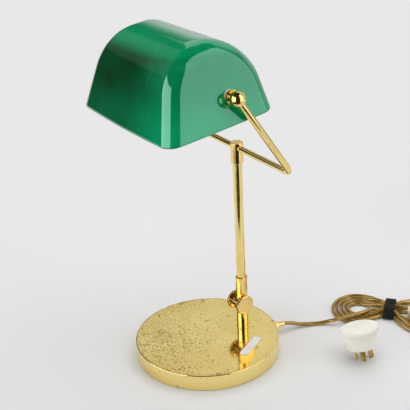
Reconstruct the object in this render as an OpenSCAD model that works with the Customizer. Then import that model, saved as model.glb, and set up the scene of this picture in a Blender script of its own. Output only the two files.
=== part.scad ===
// Adjustable table lamp with a long glass trough shade on a swinging yoke.
// The origin is the centre of the base's underside, +Z is up, +X runs along the shade
// and the shade hangs out in front, towards -Y. Units are millimetres.

/* [Base] */
// outer diameter of the round base
base_d = 190; // [150:1:240]
// height of the base, pad included
base_h = 22; // [18:0.5:32]
// sheet thickness of the brass cover
cover_t = 1.2; // [0.8:0.1:2]
// distance from the base centre to the post
foot_offset = 51; // [35:1:70]
// how far the arm has been swung round from the cord's side, in degrees
base_turn = 13; // [-40:1:40]

/* [Post and hinge] */
// diameter of the short post
post_d = 15; // [12:0.5:18]
// diameter of the threaded spigot that goes through the base
spigot_d = 10; // [8:0.5:12]
// height of the hinge axis above the base
hinge_h = 39; // [32:0.5:60]
// how far the hinge axis sits in front of the post
hinge_forward = 3; // [0:0.5:4]
// diameter of the hinge barrel
barrel_d = 17; // [15.5:0.5:20]
// length of the hinge barrel between the two knobs
barrel_l = 17.2; // [16:0.2:24]
// width of the tongue in the middle of the hinge
tongue_w = 6; // [4:0.2:8]
// diameter of the two round knobs
knob_d = 26.4; // [20:0.2:34]
// thickness of the two round knobs
knob_t = 3.6; // [3:0.1:6]
// diameter of the hinge bolt
bolt_d = 5; // [4:0.5:6]

/* [Stem] */
// outer diameter of the stem tube
stem_d = 12; // [10:0.2:13.6]
// wall of the stem tube
stem_wall = 1.2; // [0.8:0.1:2]
// outer diameter of the socket that holds the stem
socket_d = 15.5; // [14.8:0.1:18]
// height of the socket above the hinge axis
socket_top = 38; // [30:1:60]
// distance from the hinge axis up to the yoke bar
stem_reach = 218.5; // [150:0.5:300]
// diameter of the fitting on top of the stem
fitting_d = 16; // [15:0.5:20]
// length of the fitting on top of the stem
fitting_l = 27; // [24:0.5:40]

/* [Yoke] */
// outer diameter of the yoke tube
yoke_d = 8; // [6.4:0.2:9]
// bore of the yoke tube
yoke_bore = 5.4; // [3:0.2:6]
// distance from the middle of the yoke to each ball
yoke_half = 110; // [104:0.5:150]
// radius of the two bends, to the middle of the tube
bend_r = 12; // [9:0.5:20]
// distance from the yoke bar to the balls
yoke_reach = 125; // [115:0.5:160]
// angle of the side arms above the horizontal
yoke_angle = 55.8; // [50:0.2:90]
// diameter of the ball on each arm
ball_d = 18; // [16:0.5:24]

/* [Shade] */
// outside length of the glass shade at the rim
shade_l = 208; // [170:1:208]
// radius of the shade's round top
arch_r = 61.5; // [45:0.5:64]
// height of the glass shade
shade_h = 87.6; // [80:0.2:92]
// lean of the front wall from upright, in degrees
front_lean = 21.6; // [14:0.2:28]
// lean of the back wall from upright, in degrees
back_lean = 5; // [2:0.5:16]
// lean of the two end walls from upright, in degrees
end_lean = 16.2; // [8:0.2:18]
// thickness of the cased glass
glass_t = 3.5; // [2.5:0.1:4.5]
// corner radius of the shade seen from above
corner_r = 26; // [24:1:32]
// radius where the end walls turn into the top
crown_r = 26; // [25:1:32]
// forward tip of the shade from level, in degrees
shade_tip = 7.3; // [0:0.1:15]
// height of the pivot holes above the rim
pivot_up = 28.9; // [26:0.1:38]
// distance of the pivot holes behind the middle of the round top
pivot_back = 11.8; // [0:0.2:16]

/* [Pivots and lamp] */
// diameter of the hollow threaded studs
stud_d = 8; // [7:0.5:9]
// diameter of the collars outside the glass
collar_d = 16; // [14:0.5:20]
// diameter of the bulb
bulb_d = 35; // [25:1:40]
// diameter of the lampholder
holder_d = 28; // [24:0.5:32]

/* [Cord] */
// diameter of the cord
cord_d = 5.2; // [4.4:0.1:5.4]
// diameter of the plug's rim
plug_d = 50.5; // [46:0.5:54]
// diameter of the plug's body below its rim
plug_body_d = 44; // [40:0.5:46]
// height of the plug without its pins
plug_h = 26.8; // [25:0.2:34]
// length of the switch on the cord
switch_l = 44; // [42:0.5:50]

/* [Fits] */
// radial clearance of a part that turns on another
turn_gap = 0.05; // [0.02:0.01:0.1]
// clearance between faces that slide past each other
face_gap = 0.1; // [0.05:0.05:0.2]

/* [Hidden] */
$fn = 96;
eps = 0.01;
pad_t = 2.6;
foot_x = foot_offset * sin(base_turn);
foot_y = foot_offset * cos(base_turn);
base_r = base_d / 2;
weight_top = base_h - cover_t;
hinge_z = base_h + hinge_h;
hinge_y = foot_y - hinge_forward;
bar_z = hinge_z + stem_reach;
arm_tilt = 90 - yoke_angle;
pivot_y = foot_y - yoke_reach * cos(yoke_angle);
pivot_z = bar_z + yoke_reach * sin(yoke_angle);
end_x = shade_l / 2;
ball_r = ball_d / 2;
washer_t = 0.5;
ear_w = (barrel_l - tongue_w - 2 * washer_t) / 2;
gasket_t = 0.8;
collar_out = yoke_half - ball_r - face_gap * 2;
wall_low_x = end_x - (pivot_up - collar_d / 2) * tan(end_lean);
wall_high_x = end_x - (pivot_up + collar_d / 2) * tan(end_lean) - glass_t / cos(end_lean);
collar_in = wall_low_x + gasket_t / 2;
nut_t = 4;
inner_gasket_x = wall_high_x - gasket_t / 2;
nut_x = inner_gasket_x - face_gap - nut_t;
holder_l = 36;
holder_x = -nut_x;
bulb_x = holder_x + holder_l - 6;
nipple_z = 11;
nipple_out = 16;
cord_r = cord_d / 2;
arch_z = shade_h - arch_r;
plug_pos = [139, 149, 18.8];
plug_tilt = 15.8;
plug_away = -82;
earth_turn = 88;
rim_h = 6.4;
pin_t = 1.6;
pin_w = 6.3;
live_out = 9.9;
earth_out = 10.3;
plug_screw_d = 3;
plug_screw_out = 14;
lead_in_turn = 148;
lead_in_z = 10;
strap_half = 7.2;
strap_at = [77.5, 254];
strap_turn = 40;
switch_at = [48, -9.8, 0];

// which piece to draw

// a cylinder along X from x0 to x1
module xrod(r, x0, x1)
  translate([x0, 0, 0]) rotate([0, 90, 0]) cylinder(r = r, h = x1 - x0);

// a hexagon across flats af, along X
module xhex(af, x0, x1)
  translate([x0, 0, 0]) rotate([0, 90, 0]) cylinder(d = af / cos(30), h = x1 - x0, $fn = 6);

// things placed about the post's axis
module at_foot(z = 0)
  translate([foot_x, foot_y, z]) children();

// things placed about the hinge axis
module at_hinge()
  translate([foot_x, hinge_y, hinge_z]) children();

// things placed on the yoke, whose arms point along the local Z
module at_yoke()
  translate([foot_x, foot_y, bar_z]) rotate([arm_tilt, 0, 0]) children();

// things placed about the shade's pivot axis
module at_pivot()
  translate([foot_x, pivot_y, pivot_z]) children();

// things placed at the cord's side of the base, local Y pointing outwards
module at_cord_side()
  rotate([0, 0, -base_turn]) children();

// base
module base_cover()
  color([0.83, 0.67, 0.30])
  difference() {
    rotate_extrude() {
      difference() {
        union() {
          translate([0, 0.6]) square([base_r, base_h - 1.6]);
          square_top();
        }
        translate([-1, -1]) square([base_r - cover_t + 1, base_h - cover_t + 1]);
        translate([base_r - 2.6, base_h - 0.35]) square([0.5, 1]);
      }
    }
    at_foot(base_h - 5) cylinder(d = spigot_d + 2 * turn_gap, h = 10);
    at_cord_side() translate([0, base_r - 5, nipple_z]) rotate([-90, 0, 0]) cylinder(d = 7, h = 10);
  }

// the rounded upper edge of the cover, as a half profile
module square_top() {
  square([base_r - 1, base_h]);
  translate([base_r - 1, base_h - 1]) circle(r = 1);
}

module base_weight()
  color([0.25, 0.25, 0.26])
  difference() {
    translate([0, 0, pad_t]) cylinder(r = base_r - cover_t - 0.4, h = weight_top - pad_t);
    at_foot(0) cylinder(d = spigot_d + 0.6, h = 40);
    at_foot(0) cylinder(d = 30, h = pad_t + 12);
    at_cord_side() translate([-5, foot_offset, 0]) cube([10, base_r, pad_t + 12]);
    at_cord_side() translate([-9, base_r - 9, 0]) cube([18, 20, pad_t + 16]);
  }

module base_pad()
  color([0.13, 0.22, 0.15])
  cylinder(r = base_r - cover_t - 0.5, h = pad_t);

module foot_nut()
  color([0.75, 0.72, 0.62])
  at_foot(pad_t + 4)
  difference() {
    cylinder(d = 17 / cos(30), h = 5, $fn = 6);
    translate([0, 0, -1]) cylinder(d = spigot_d, h = 8);
  }

module foot_washer()
  color([0.75, 0.72, 0.62])
  at_foot(pad_t + 9)
  difference() {
    cylinder(d = 24, h = 3 - face_gap);
    translate([0, 0, -1]) cylinder(d = spigot_d + 0.2, h = 6);
  }

module cord_nipple()
  color([0.86, 0.70, 0.33])
  at_cord_side()
  translate([0, base_r, nipple_z])
  rotate([-90, 0, 0])
  difference() {
    union() {
      translate([0, 0, -7]) cylinder(d = 6.9, h = 8);
      translate([0, 0, 0.05]) cylinder(d = 10 / cos(30), h = 6, $fn = 6);
      translate([0, 0, 6.04]) cylinder(d = 8.6, h = 1.2);
      translate([0, 0, 7.2]) cylinder(d1 = 8.2, d2 = 7.2, h = nipple_out - 7.2);
    }
    translate([0, 0, -8]) cylinder(d = 5, h = nipple_out + 3);
    translate([0, 0, nipple_out - 5]) cylinder(d = cord_d + 0.3, h = 10);
  }

module nipple_nut()
  color([0.75, 0.72, 0.62])
  at_cord_side()
  translate([0, base_r - cover_t - 4, nipple_z])
  rotate([-90, 0, 0])
  difference() {
    cylinder(d = 12 / cos(30), h = 3.6, $fn = 6);
    translate([0, 0, -1]) cylinder(d = 6.9, h = 8);
  }

module base_lead()
  color([0.80, 0.78, 0.70])
  at_cord_side()
  translate([0, foot_offset + 13, nipple_z])
  rotate([-90, 0, 0])
  cylinder(d = 4.8, h = base_r - foot_offset - 13 - 3);

module blank_tag()
  color([0.93, 0.93, 0.90])
  translate([57, 30, base_h])
  rotate([0, 0, 118])
  translate([-20, -4.2, 0])
  cube([40, 8.4, 0.3]);

// post, which turns in the base
module post()
  color([0.83, 0.67, 0.30])
  at_foot(0)
  difference() {
    union() {
      translate([0, 0, pad_t + 2]) cylinder(d = spigot_d, h = base_h);
      translate([0, 0, base_h + face_gap]) cylinder(d = post_d + 1, h = 1.4);
      translate([0, 0, base_h + face_gap]) cylinder(d = post_d, h = hinge_h - 18);
    }
    translate([0, 0, -1]) cylinder(d = 6, h = base_h + hinge_h - 20);
    translate([0, 0, base_h + hinge_h - 21.5]) cylinder(d = 8.1, h = 30);
  }

module hinge_fork()
  color([0.80, 0.63, 0.27])
  difference() {
    union() {
      at_hinge() xrod(barrel_d / 2, -barrel_l / 2, barrel_l / 2);
      at_foot(base_h + face_gap + hinge_h - 18) cylinder(d = post_d, h = 8);
      at_foot(base_h + face_gap + hinge_h - 10.01) cylinder(d1 = post_d, d2 = post_d - 1.4, h = 8);
      at_foot(base_h + hinge_h - 21) cylinder(d = 8, h = 8);
    }
    at_foot(base_h + hinge_h - 30) cylinder(d = 5, h = 18);
    at_hinge() xrod(bolt_d / 2 + turn_gap, -20, 20);
    at_hinge() translate([-tongue_w / 2 - washer_t, -15, -barrel_d / 2 - 0.6]) cube([tongue_w + 2 * washer_t, 30, 30]);
    at_hinge() translate([-barrel_l / 2 - 1, -15, barrel_d / 2 - 0.1]) cube([barrel_l + 2, 30, 30]);
  }

// a round knob with a fine toothed edge, its face at x = 0 and its body towards +X
module knob_body() {
  teeth = 44;
  tooth_r = knob_d / 2;
  root_r = tooth_r - 0.5;
  rim = [for (i = [0 : 2 * teeth - 1]) (i % 2 == 0 ? tooth_r : root_r) * [cos(i * 180 / teeth), sin(i * 180 / teeth)]];
  intersection() {
    rotate([0, 90, 0]) linear_extrude(knob_t) polygon(rim);
    rotate([0, 90, 0]) union() {
      cylinder(d1 = knob_d - 1.6, d2 = knob_d + 0.4, h = 1);
      translate([0, 0, 1]) cylinder(d = knob_d + 0.4, h = knob_t - 1.8);
      translate([0, 0, knob_t - 0.8]) cylinder(d1 = knob_d + 0.4, d2 = knob_d - 1.2, h = 0.8);
    }
  }
}

module hinge_bolt()
  color([0.83, 0.67, 0.30])
  at_hinge()
  union() {
    xrod(bolt_d / 2, -barrel_l / 2 - 2, barrel_l / 2 + knob_t - 1);
    translate([-barrel_l / 2, 0, 0]) mirror([1, 0, 0]) knob_body();
  }

module near_knob()
  color([0.88, 0.72, 0.36])
  at_hinge()
  difference() {
    translate([barrel_l / 2 + face_gap, 0, 0]) knob_body();
    xrod(bolt_d / 2 + turn_gap, 0, barrel_l / 2 + knob_t - 0.9);
  }

module hinge_washers()
  color([0.20, 0.20, 0.20])
  at_hinge()
  for (side = [-1, 1])
    difference() {
      xrod(barrel_d / 2 - 1, side * (tongue_w / 2 + washer_t / 2) - washer_t / 2 + 0.03,
           side * (tongue_w / 2 + washer_t / 2) + washer_t / 2 - 0.03);
      xrod(bolt_d / 2 + turn_gap, -10, 10);
    }

// stem, which tips on the hinge
module stem_socket()
  color([0.86, 0.70, 0.33])
  difference() {
    union() {
      at_foot(hinge_z + barrel_d / 2 + 0.9) cylinder(d = socket_d, h = socket_top - barrel_d / 2 - 1.4);
      at_foot(hinge_z + socket_top - 0.51) cylinder(d1 = socket_d, d2 = socket_d - 1, h = 0.51);
      at_hinge() xrod(barrel_d / 2 - 0.3, -tongue_w / 2, tongue_w / 2);
      intersection() {
        at_foot(hinge_z) cylinder(d = socket_d, h = barrel_d / 2 + 3);
        at_hinge() translate([-tongue_w / 2, -barrel_d / 2 + 0.6, 0]) cube([tongue_w, barrel_d, barrel_d]);
      }
    }
    at_foot(hinge_z + 18) cylinder(d = stem_d, h = 60);
    at_foot(hinge_z + socket_top - 1.4) cylinder(d1 = stem_d, d2 = stem_d + 2.8, h = 1.41);
    at_foot(hinge_z + 12) cylinder(d = 6, h = 20);
    at_hinge() xrod(bolt_d / 2 + turn_gap, -20, 20);
  }

module stem_tube()
  color([0.83, 0.67, 0.30])
  at_foot(hinge_z + 18)
  difference() {
    cylinder(d = stem_d, h = stem_reach - 18 - 8);
    translate([0, 0, -1]) cylinder(d = stem_d - 2 * stem_wall, h = stem_reach);
  }

module top_fitting()
  color([0.86, 0.70, 0.33])
  difference() {
    union() {
      at_foot(bar_z + 7 - fitting_l) cylinder(d1 = fitting_d - 1.2, d2 = fitting_d, h = 0.6);
      at_foot(bar_z + 7.6 - fitting_l - eps) cylinder(d = fitting_d, h = fitting_l - 1.1);
      at_foot(bar_z + 6.48) cylinder(d1 = fitting_d, d2 = fitting_d - 1, h = 0.52);
    }
    at_foot(bar_z - 8 - fitting_l) cylinder(d = stem_d, h = fitting_l);
    at_foot(bar_z - 10) cylinder(d = 4, h = 9);
    at_foot(bar_z) xrod(yoke_d / 2 + turn_gap, -20, 20);
    at_foot(bar_z) rotate([-90, 0, 0]) cylinder(d = 4, h = 20);
  }

module stem_lead()
  color([0.80, 0.78, 0.70])
  at_foot(hinge_z + 14)
  cylinder(d = 4.8, h = stem_reach - 14 - 12);

module friction_pad()
  color([0.90, 0.90, 0.86])
  at_foot(bar_z)
  intersection() {
    difference() {
      rotate([-90, 0, 0]) cylinder(d = 3.9, h = 5.6);
      xrod(yoke_d / 2 + turn_gap, -20, 20);
    }
    translate([-5, 0, -5]) cube([10, 20, 10]);
  }

module friction_screw()
  color([0.55, 0.50, 0.40])
  at_foot(bar_z)
  difference() {
    translate([0, 5.62, 0]) rotate([-90, 0, 0]) cylinder(d = 4, h = 3.2);
    translate([-3, 8, -0.35]) cube([6, 3, 0.7]);
  }

// yoke, which tips in the top fitting
module yoke_path(r)
  union() {
    xrod(r, -yoke_half + bend_r, yoke_half - bend_r);
    for (side = [-1, 1]) {
      translate([side * (yoke_half - bend_r), 0, bend_r])
        rotate([90, 0, 0])
        rotate([0, 0, side > 0 ? -90 : 180])
        rotate_extrude(angle = 90)
        translate([bend_r, 0]) circle(r = r);
      translate([side * yoke_half, 0, bend_r]) cylinder(r = r, h = yoke_reach - bend_r - 5);
    }
  }

module yoke_tube()
  color([0.83, 0.67, 0.30])
  at_yoke()
  difference() {
    yoke_path(yoke_d / 2);
    yoke_path(yoke_bore / 2);
    for (side = [-1, 1])
      translate([side * yoke_half, 0, yoke_reach - 6]) cylinder(d = yoke_bore, h = 3);
    rotate([-arm_tilt, 0, 0]) translate([0, 0, -10]) cylinder(d = 3.6, h = 10);
  }

module ball_end(side)
  color([0.88, 0.72, 0.36])
  at_yoke()
  translate([side * yoke_half, 0, yoke_reach])
  difference() {
    sphere(r = ball_r);
    translate([0, 0, -ball_r - 1]) cylinder(d = yoke_d, h = ball_r - 4);
    translate([0, 0, -6]) cylinder(d = 4, h = 6);
    scale([-side, 1, 1]) xrod(stud_d / 2, -2, 20);
  }

module ball_left()
  ball_end(-1);

module ball_right()
  ball_end(1);

module pivot_studs()
  color([0.75, 0.72, 0.62])
  at_pivot()
  for (side = [-1, 1])
    scale([side, 1, 1])
    difference() {
      xrod(stud_d / 2, nut_x - 2, yoke_half + 2);
      xrod(stud_d / 2 - 1.6, nut_x - 3, yoke_half + 1);
      translate([yoke_half, 0, 0]) rotate([arm_tilt, 0, 0]) translate([0, 0, -8]) cylinder(d = 3, h = 8);
    }

module stud_nuts()
  color([0.80, 0.66, 0.32])
  at_pivot()
  for (side = [-1, 1])
    scale([side, 1, 1])
    difference() {
      xhex(14, nut_x, nut_x + nut_t);
      xrod(stud_d / 2, 0, 200);
    }

module lampholder()
  color([0.14, 0.13, 0.12])
  at_pivot()
  difference() {
    union() {
      xrod(holder_d / 2 - 4, holder_x, holder_x + 6);
      xrod(holder_d / 2, holder_x + 5, holder_x + holder_l);
    }
    xrod(stud_d / 2 - 1.6, holder_x - 1, holder_x + 12);
    xrod(stud_d / 2, holder_x - 1, holder_x + 2);
    xrod(holder_d / 2 - 3, holder_x + 10, holder_x + holder_l + 1);
  }

module holder_ring()
  color([0.16, 0.15, 0.14])
  at_pivot()
  difference() {
    xrod(holder_d / 2 + 4, holder_x + holder_l - 14, holder_x + holder_l - 9);
    xrod(holder_d / 2, holder_x, holder_x + 60);
  }

module bulb_cap()
  color([0.78, 0.78, 0.76])
  at_pivot()
  union() {
    xrod(holder_d / 2 - 3.05, holder_x + 13, bulb_x + 4);
    xrod(3, holder_x + 10, holder_x + 13.5);
  }

module bulb_glass()
  color([0.93, 0.92, 0.88, 0.6])
  at_pivot()
  translate([bulb_x, 0, 0])
  rotate([0, 90, 0])
  rotate_extrude()
  difference() {
    union() {
      translate([0, 4.02]) square([holder_d / 2 - 3.4, 10]);
      polygon([[0, 14], [holder_d / 2 - 3.4, 14], [bulb_d / 2 - 1.2, 24], [bulb_d / 2, 32], [0, 32]]);
      translate([0, 32]) square([bulb_d / 2, 22]);
      translate([0, 54]) intersection() {
        circle(r = bulb_d / 2);
        square([bulb_d, bulb_d]);
      }
    }
    translate([-50, -10]) square([50, 200]);
  }

// shade section across the lamp, in the rim's own level: leaning walls and a round top, front towards -X
function rim_half(lean) = arch_r / cos(lean) + arch_z * tan(lean);
module shade_section(inset, foot = 0) {
  r = arch_r - inset;
  front = [r * cos(front_lean), arch_z + r * sin(front_lean)];
  back = [r * cos(back_lean), arch_z + r * sin(back_lean)];
  translate([0, arch_z]) circle(r = r);
  polygon([[-front[0] - (front[1] + foot) * tan(front_lean), -foot],
           [back[0] + (back[1] + foot) * tan(back_lean), -foot], back, [-front[0], front[1]]]);
}

// shade section along the lamp: end walls that lean in and turn into the top
module end_section(inset, foot = 0) {
  r = crown_r - inset;
  centre_z = shade_h - crown_r;
  centre_x = end_x - centre_z * tan(end_lean) - crown_r / cos(end_lean);
  touch = [centre_x + r * cos(end_lean), centre_z + r * sin(end_lean)];
  foot_half = touch[0] + (touch[1] + foot) * tan(end_lean);
  for (side = [-1, 1])
    translate([side * centre_x, centre_z]) circle(r = r);
  polygon([[-foot_half, -foot], [foot_half, -foot], [touch[0], touch[1]], [centre_x, shade_h - inset],
           [-centre_x, shade_h - inset], [-touch[0], touch[1]]]);
}

// what is cut from a corner, where a wall of this lean and an end wall meet, to leave it round
module corner_cut(inset, lean) {
  wall_out = [0, cos(lean), sin(lean)];
  end_out = [cos(end_lean), 0, sin(end_lean)];
  along = unit(cross(end_out, wall_out));
  across = cross(along, wall_out);
  r = corner_r - inset;
  foot = [end_x - corner_r / cos(end_lean), rim_half(lean) - corner_r / cos(lean), 0];
  end_at = [end_out * wall_out, end_out * across];
  far = (r + 12) / (1 + end_at[0]) * ([1, 0] + end_at);
  multmatrix([[wall_out[0], across[0], along[0], foot[0]],
              [wall_out[1], across[1], along[1], foot[1]],
              [wall_out[2], across[2], along[2], foot[2]],
              [0, 0, 0, 1]])
    translate([0, 0, -30])
    linear_extrude(150)
    difference() {
      polygon([[0, 0], [r, 0], [r + 12, 0], 2 * far, (r + 12) * end_at, r * end_at]);
      rotate(180) circle(r = r);
    }
}

module shade_form(inset, foot = 0)
  difference() {
    intersection() {
      rotate([90, 0, 90]) translate([0, 0, -shade_l]) linear_extrude(2 * shade_l)
        intersection() {
          shade_section(inset, foot);
          translate([-shade_l, -foot]) square([2 * shade_l, 2 * shade_h]);
        }
      rotate([90, 0, 0]) translate([0, 0, -shade_l]) linear_extrude(2 * shade_l)
        intersection() {
          end_section(inset, foot);
          translate([-shade_l, -foot]) square([2 * shade_l, 2 * shade_h]);
        }
    }
    for (sx = [-1, 1]) {
      scale([sx, -1, 1]) corner_cut(inset, front_lean);
      scale([sx, 1, 1]) corner_cut(inset, back_lean);
    }
  }

module shade_glass()
  color([0.02, 0.42, 0.24])
  at_pivot()
  rotate([shade_tip, 0, 0])
  difference() {
    translate([0, -pivot_back, -pivot_up]) shade_form(0);
    translate([0, -pivot_back, -pivot_up]) shade_form(glass_t, 3);
    xrod(stud_d / 2 + 1, -end_x - 5, end_x + 5);
  }

module pivot_collars()
  color([0.86, 0.70, 0.33])
  at_pivot()
  for (side = [-1, 1])
    scale([side, 1, 1])
    difference() {
      union() {
        xrod(collar_d / 2, collar_in, collar_in + 1.6);
        xrod(collar_d / 2 - 2, collar_in + 1.5, collar_out);
      }
      xrod(stud_d / 2 + turn_gap, collar_in - 1, collar_out + 1);
    }

// the leaning end wall round the pivot, as the gaskets meet it
module end_wall()
  translate([end_x, 0, -pivot_up])
  rotate([0, -end_lean, 0])
  translate([-glass_t, -40, -20])
  cube([glass_t, 80, 140]);

module glass_gaskets()
  color([0.85, 0.83, 0.76])
  at_pivot()
  rotate([shade_tip, 0, 0])
  for (side = [-1, 1])
    scale([side, 1, 1])
    difference() {
      xrod(collar_d / 2 - 0.5, inner_gasket_x, collar_in);
      difference() {
        end_wall();
        xrod(stud_d / 2 + 0.95, 0, 200);
      }
      xrod(stud_d / 2 + turn_gap, inner_gasket_x - 1, end_x + 5);
    }

// cord sweep: a closed tube of many sides along a list of points
function unit(v) = v / norm(v);
function tangent(path, i) =
  i == 0 ? unit(path[1] - path[0]) :
  i == len(path) - 1 ? unit(path[i] - path[i - 1]) :
  unit(unit(path[i + 1] - path[i]) + unit(path[i] - path[i - 1]));
function side_of(t) = unit(cross(t, [0, 0, 1]));
function ring_at(p, t, r, sides) =
  let (a = side_of(t), b = cross(a, t))
  [for (k = [0 : sides - 1]) p + r * cos(360 * (k + 0.5) / sides) * a + r * sin(360 * (k + 0.5) / sides) * b];

module sweep_tube(path, r, sides) {
  count = len(path);
  rings = [for (i = [0 : count - 1]) each ring_at(path[i], tangent(path, i), r, sides)];
  skin = [for (i = [0 : count - 2], k = [0 : sides - 1], half = [0, 1])
    let (a = i * sides + k, b = i * sides + (k + 1) % sides)
    half == 0 ? [a, b, b + sides] : [a, b + sides, a + sides]];
  start = [for (k = [1 : sides - 2]) [0, k + 1, k]];
  last = (count - 1) * sides;
  finish = [for (k = [1 : sides - 2]) [last, last + k, last + k + 1]];
  polyhedron(points = rings, faces = concat(skin, start, finish), convexity = 8);
}

// smooth curve through hand-set points, with steps points per stretch
function curve_point(a, b, c, d, t) =
  0.5 * ((2 * b) + (c - a) * t + (2 * a - 5 * b + 4 * c - d) * t * t + (3 * b - a - 3 * c + d) * t * t * t);
function curve(points, steps) =
  let (n = len(points))
  concat([for (i = [0 : n - 2], s = [0 : steps - 1])
    curve_point(i == 0 ? 2 * points[0] - points[1] : points[i - 1], points[i], points[i + 1],
                i == n - 2 ? 2 * points[n - 1] - points[n - 2] : points[i + 2], s / steps)],
    [points[n - 1]]);

// from the hank's own level (along, across, up) to the lamp's
function from_hank(p) =
  [strap_at[0] + p[0] * cos(strap_turn) - p[1] * sin(strap_turn),
   strap_at[1] + p[0] * sin(strap_turn) + p[1] * cos(strap_turn), p[2]];

// route of the cord from the nipple, over the hank's near strands and through the strap to the switch
nipple_end = [(base_r + nipple_out - 4) * sin(base_turn), (base_r + nipple_out - 4) * cos(base_turn), nipple_z];
nipple_lip = [(base_r + nipple_out + 1) * sin(base_turn), (base_r + nipple_out + 1) * cos(base_turn), nipple_z];
run_points = concat([nipple_end, nipple_lip],
  [[27.4, 119, 8.9], [31.9, 130.8, 5], [38.3, 146.8, 2.9], [44.5, 157.5, 3.3], [50.5, 167, 5.6]],
  [for (p = [[-69, -49, 8.2], [-60, -42.5, 9.4], [-51, -36, 9.5], [-42.5, -29, 9.3], [-35, -22, 9.1],
             [-28.5, -14.5, 8.9], [-22, -8, 7.4], [-15, -4, 5.6], [-8, -2.4, 4.8], [0, -2, 4.6], [7.5, -2.3, 4.6],
             [13, -4.6, 5.8], [17.6, -8, 8], [21.6, switch_at[1] + 0.2, 9.4], [25, switch_at[1], 9.5]])
    from_hank(p)]);
run_path = concat(curve(run_points, 2), [from_hank([31.8, switch_at[1], 9.5])]);

module cord_run()
  color([0.69, 0.54, 0.25])
  sweep_tube(run_path, cord_r, 8);

// loops of the hank: t counts turns, from the outermost strand in to the innermost. A turn is a left end,
// a run out, a right end and a run back. Flat at both ends, the strands are drawn in to two layers at the strap.
left_half = 44;
right_half = 72;
end_flat = 0.94;
inner_half = [12, 4.7, 17.5];
middle = [-3, -1.5, -4];
strand_step = [7.3, 6.5, 8.8];
layer_step = 5.6;
floor_z = 2.85;
strap_lift = 1.4;
first_turn = 0.05;
last_turn = 3.5;
function step(x) = let (c = max(0, min(1, x))) c * c * (3 - 2 * c);
function near(u) = 1 - step((abs(u) - 9) / 30);
function swell(u) = step((abs(u) - 9) / 34);
function from_waist(values, u, part) = values[1] + (values[u < 0 ? 0 : 2] - values[1]) * part;
function strand_gap(u) =
  sqrt(pow(from_waist(strand_step, u, step((abs(u) - 7) / 10)), 2) - pow(layer_step * near(u), 2));
function half_gap(u, t) = from_waist(inner_half, u, swell(u)) + strand_gap(u) * (last_turn - t);
function middle_at(u) = from_waist(middle, u, swell(u));
function strand_z(u, t) = floor_z + near(u) * (strap_lift + layer_step * (floor(t) % 2));
function bunched(v) = (v < 0 ? -left_half : right_half) * pow(abs(v), 1.3);
function run_strand(u, t, side) = [u, middle_at(u) + side * half_gap(u, t), strand_z(u, t)];
function hank_point(t) =
  let (f = t - floor(t))
  f < 0.2 ? let (r = half_gap(-left_half, t))
            [-left_half - r * sin(f * 900) * end_flat, middle[0] - r * cos(f * 900), floor_z] :
  f < 0.5 ? run_strand(bunched((f - 0.35) / 0.15), t, 1) :
  f < 0.7 ? let (r = half_gap(right_half, t))
            [right_half + r * sin((f - 0.5) * 900) * end_flat, middle[2] + r * cos((f - 0.5) * 900), floor_z] :
  run_strand(bunched((0.85 - f) / 0.15), t, -1);
hank_steps = 40;
hank_count = round((last_turn - first_turn) * hank_steps);
hank_path = [for (i = [0 : hank_count]) from_hank(hank_point(first_turn + (last_turn - first_turn) * i / hank_count))];

module cord_hank()
  color([0.69, 0.54, 0.25])
  sweep_tube(hank_path, cord_r, 6);

// smallest distance between stretches of the hank that aren't next to each other along it
function segment_gap(a, b, c, d) =
  min([for (s = [0 : 0.25 : 1], q = [0 : 0.25 : 1]) norm(a + (b - a) * s - c - (d - c) * q)]);
function hank_gap() =
  min([for (i = [0 : hank_count - 1], j = [i + 8 : 1 : hank_count - 1])
    norm(hank_path[i] - hank_path[j]) > 40 ? 40 :
      segment_gap(hank_path[i], hank_path[i + 1], hank_path[j], hank_path[j + 1])]) - cord_d;

// from the hank's inner end round to the switch's far end
hank_end = hank_path[hank_count];
hank_end_dir = unit(hank_end - hank_path[hank_count - 1]);
link_points = concat([hank_end + 3 * hank_end_dir],
  [for (p = [[80.5, 12.6, 3], [85, 7.6, 4], [86.4, 1.4, 5.6], [84.6, -5.2, 7.6], [80, -9.4, 9.2],
             [75.2, switch_at[1], 9.5], [71, switch_at[1], 9.5]])
    from_hank(p)]);
link_path = concat([hank_end + 0.05 * hank_end_dir], curve(link_points, 2),
                   [from_hank([64.2, switch_at[1], 9.5])]);

module cord_link()
  color([0.69, 0.54, 0.25])
  sweep_tube(link_path, cord_r, 8);

// from the hank's start, under the run, to the plug
hank_start_dir = unit(hank_path[0] - hank_path[1]);
tail_points = concat([hank_path[0] + 3 * hank_start_dir],
  [for (p = [[-57, -36.5, 2.85], [-49, -44.5, 2.85], [-42.5, -52, 2.85], [-38, -60.5, 3.6], [-35.8, -69, 7],
             [-34.8, -76.5, 12.4]])
    from_hank(p)],
  [plug_point([lead_in_turn, 34, 9.4]), plug_point([lead_in_turn, 28, lead_in_z])]);
tail_path = concat([hank_path[0] + 0.05 * hank_start_dir], curve(tail_points, 2),
                   [plug_point([lead_in_turn, 24, lead_in_z]), plug_point([lead_in_turn, 18, lead_in_z])]);
module cord_tail()
  color([0.69, 0.54, 0.25])
  sweep_tube(tail_path, cord_r, 8);

// a point on the plug, given as direction, distance from its axis and height above the pin face
function tip_vector() = [cos(plug_away), sin(plug_away), 0];
function tipped(p) =
  let (k = tip_vector(), c = cos(plug_tilt), s = sin(plug_tilt))
  p * c + cross(k, p) * s + k * (k * p) * (1 - c);
function plug_point(q) = plug_pos + tipped([q[1] * cos(q[0]), q[1] * sin(q[0]), q[2]]);

module at_plug()
  translate(plug_pos) rotate(a = plug_tilt, v = tip_vector()) children();

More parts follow.
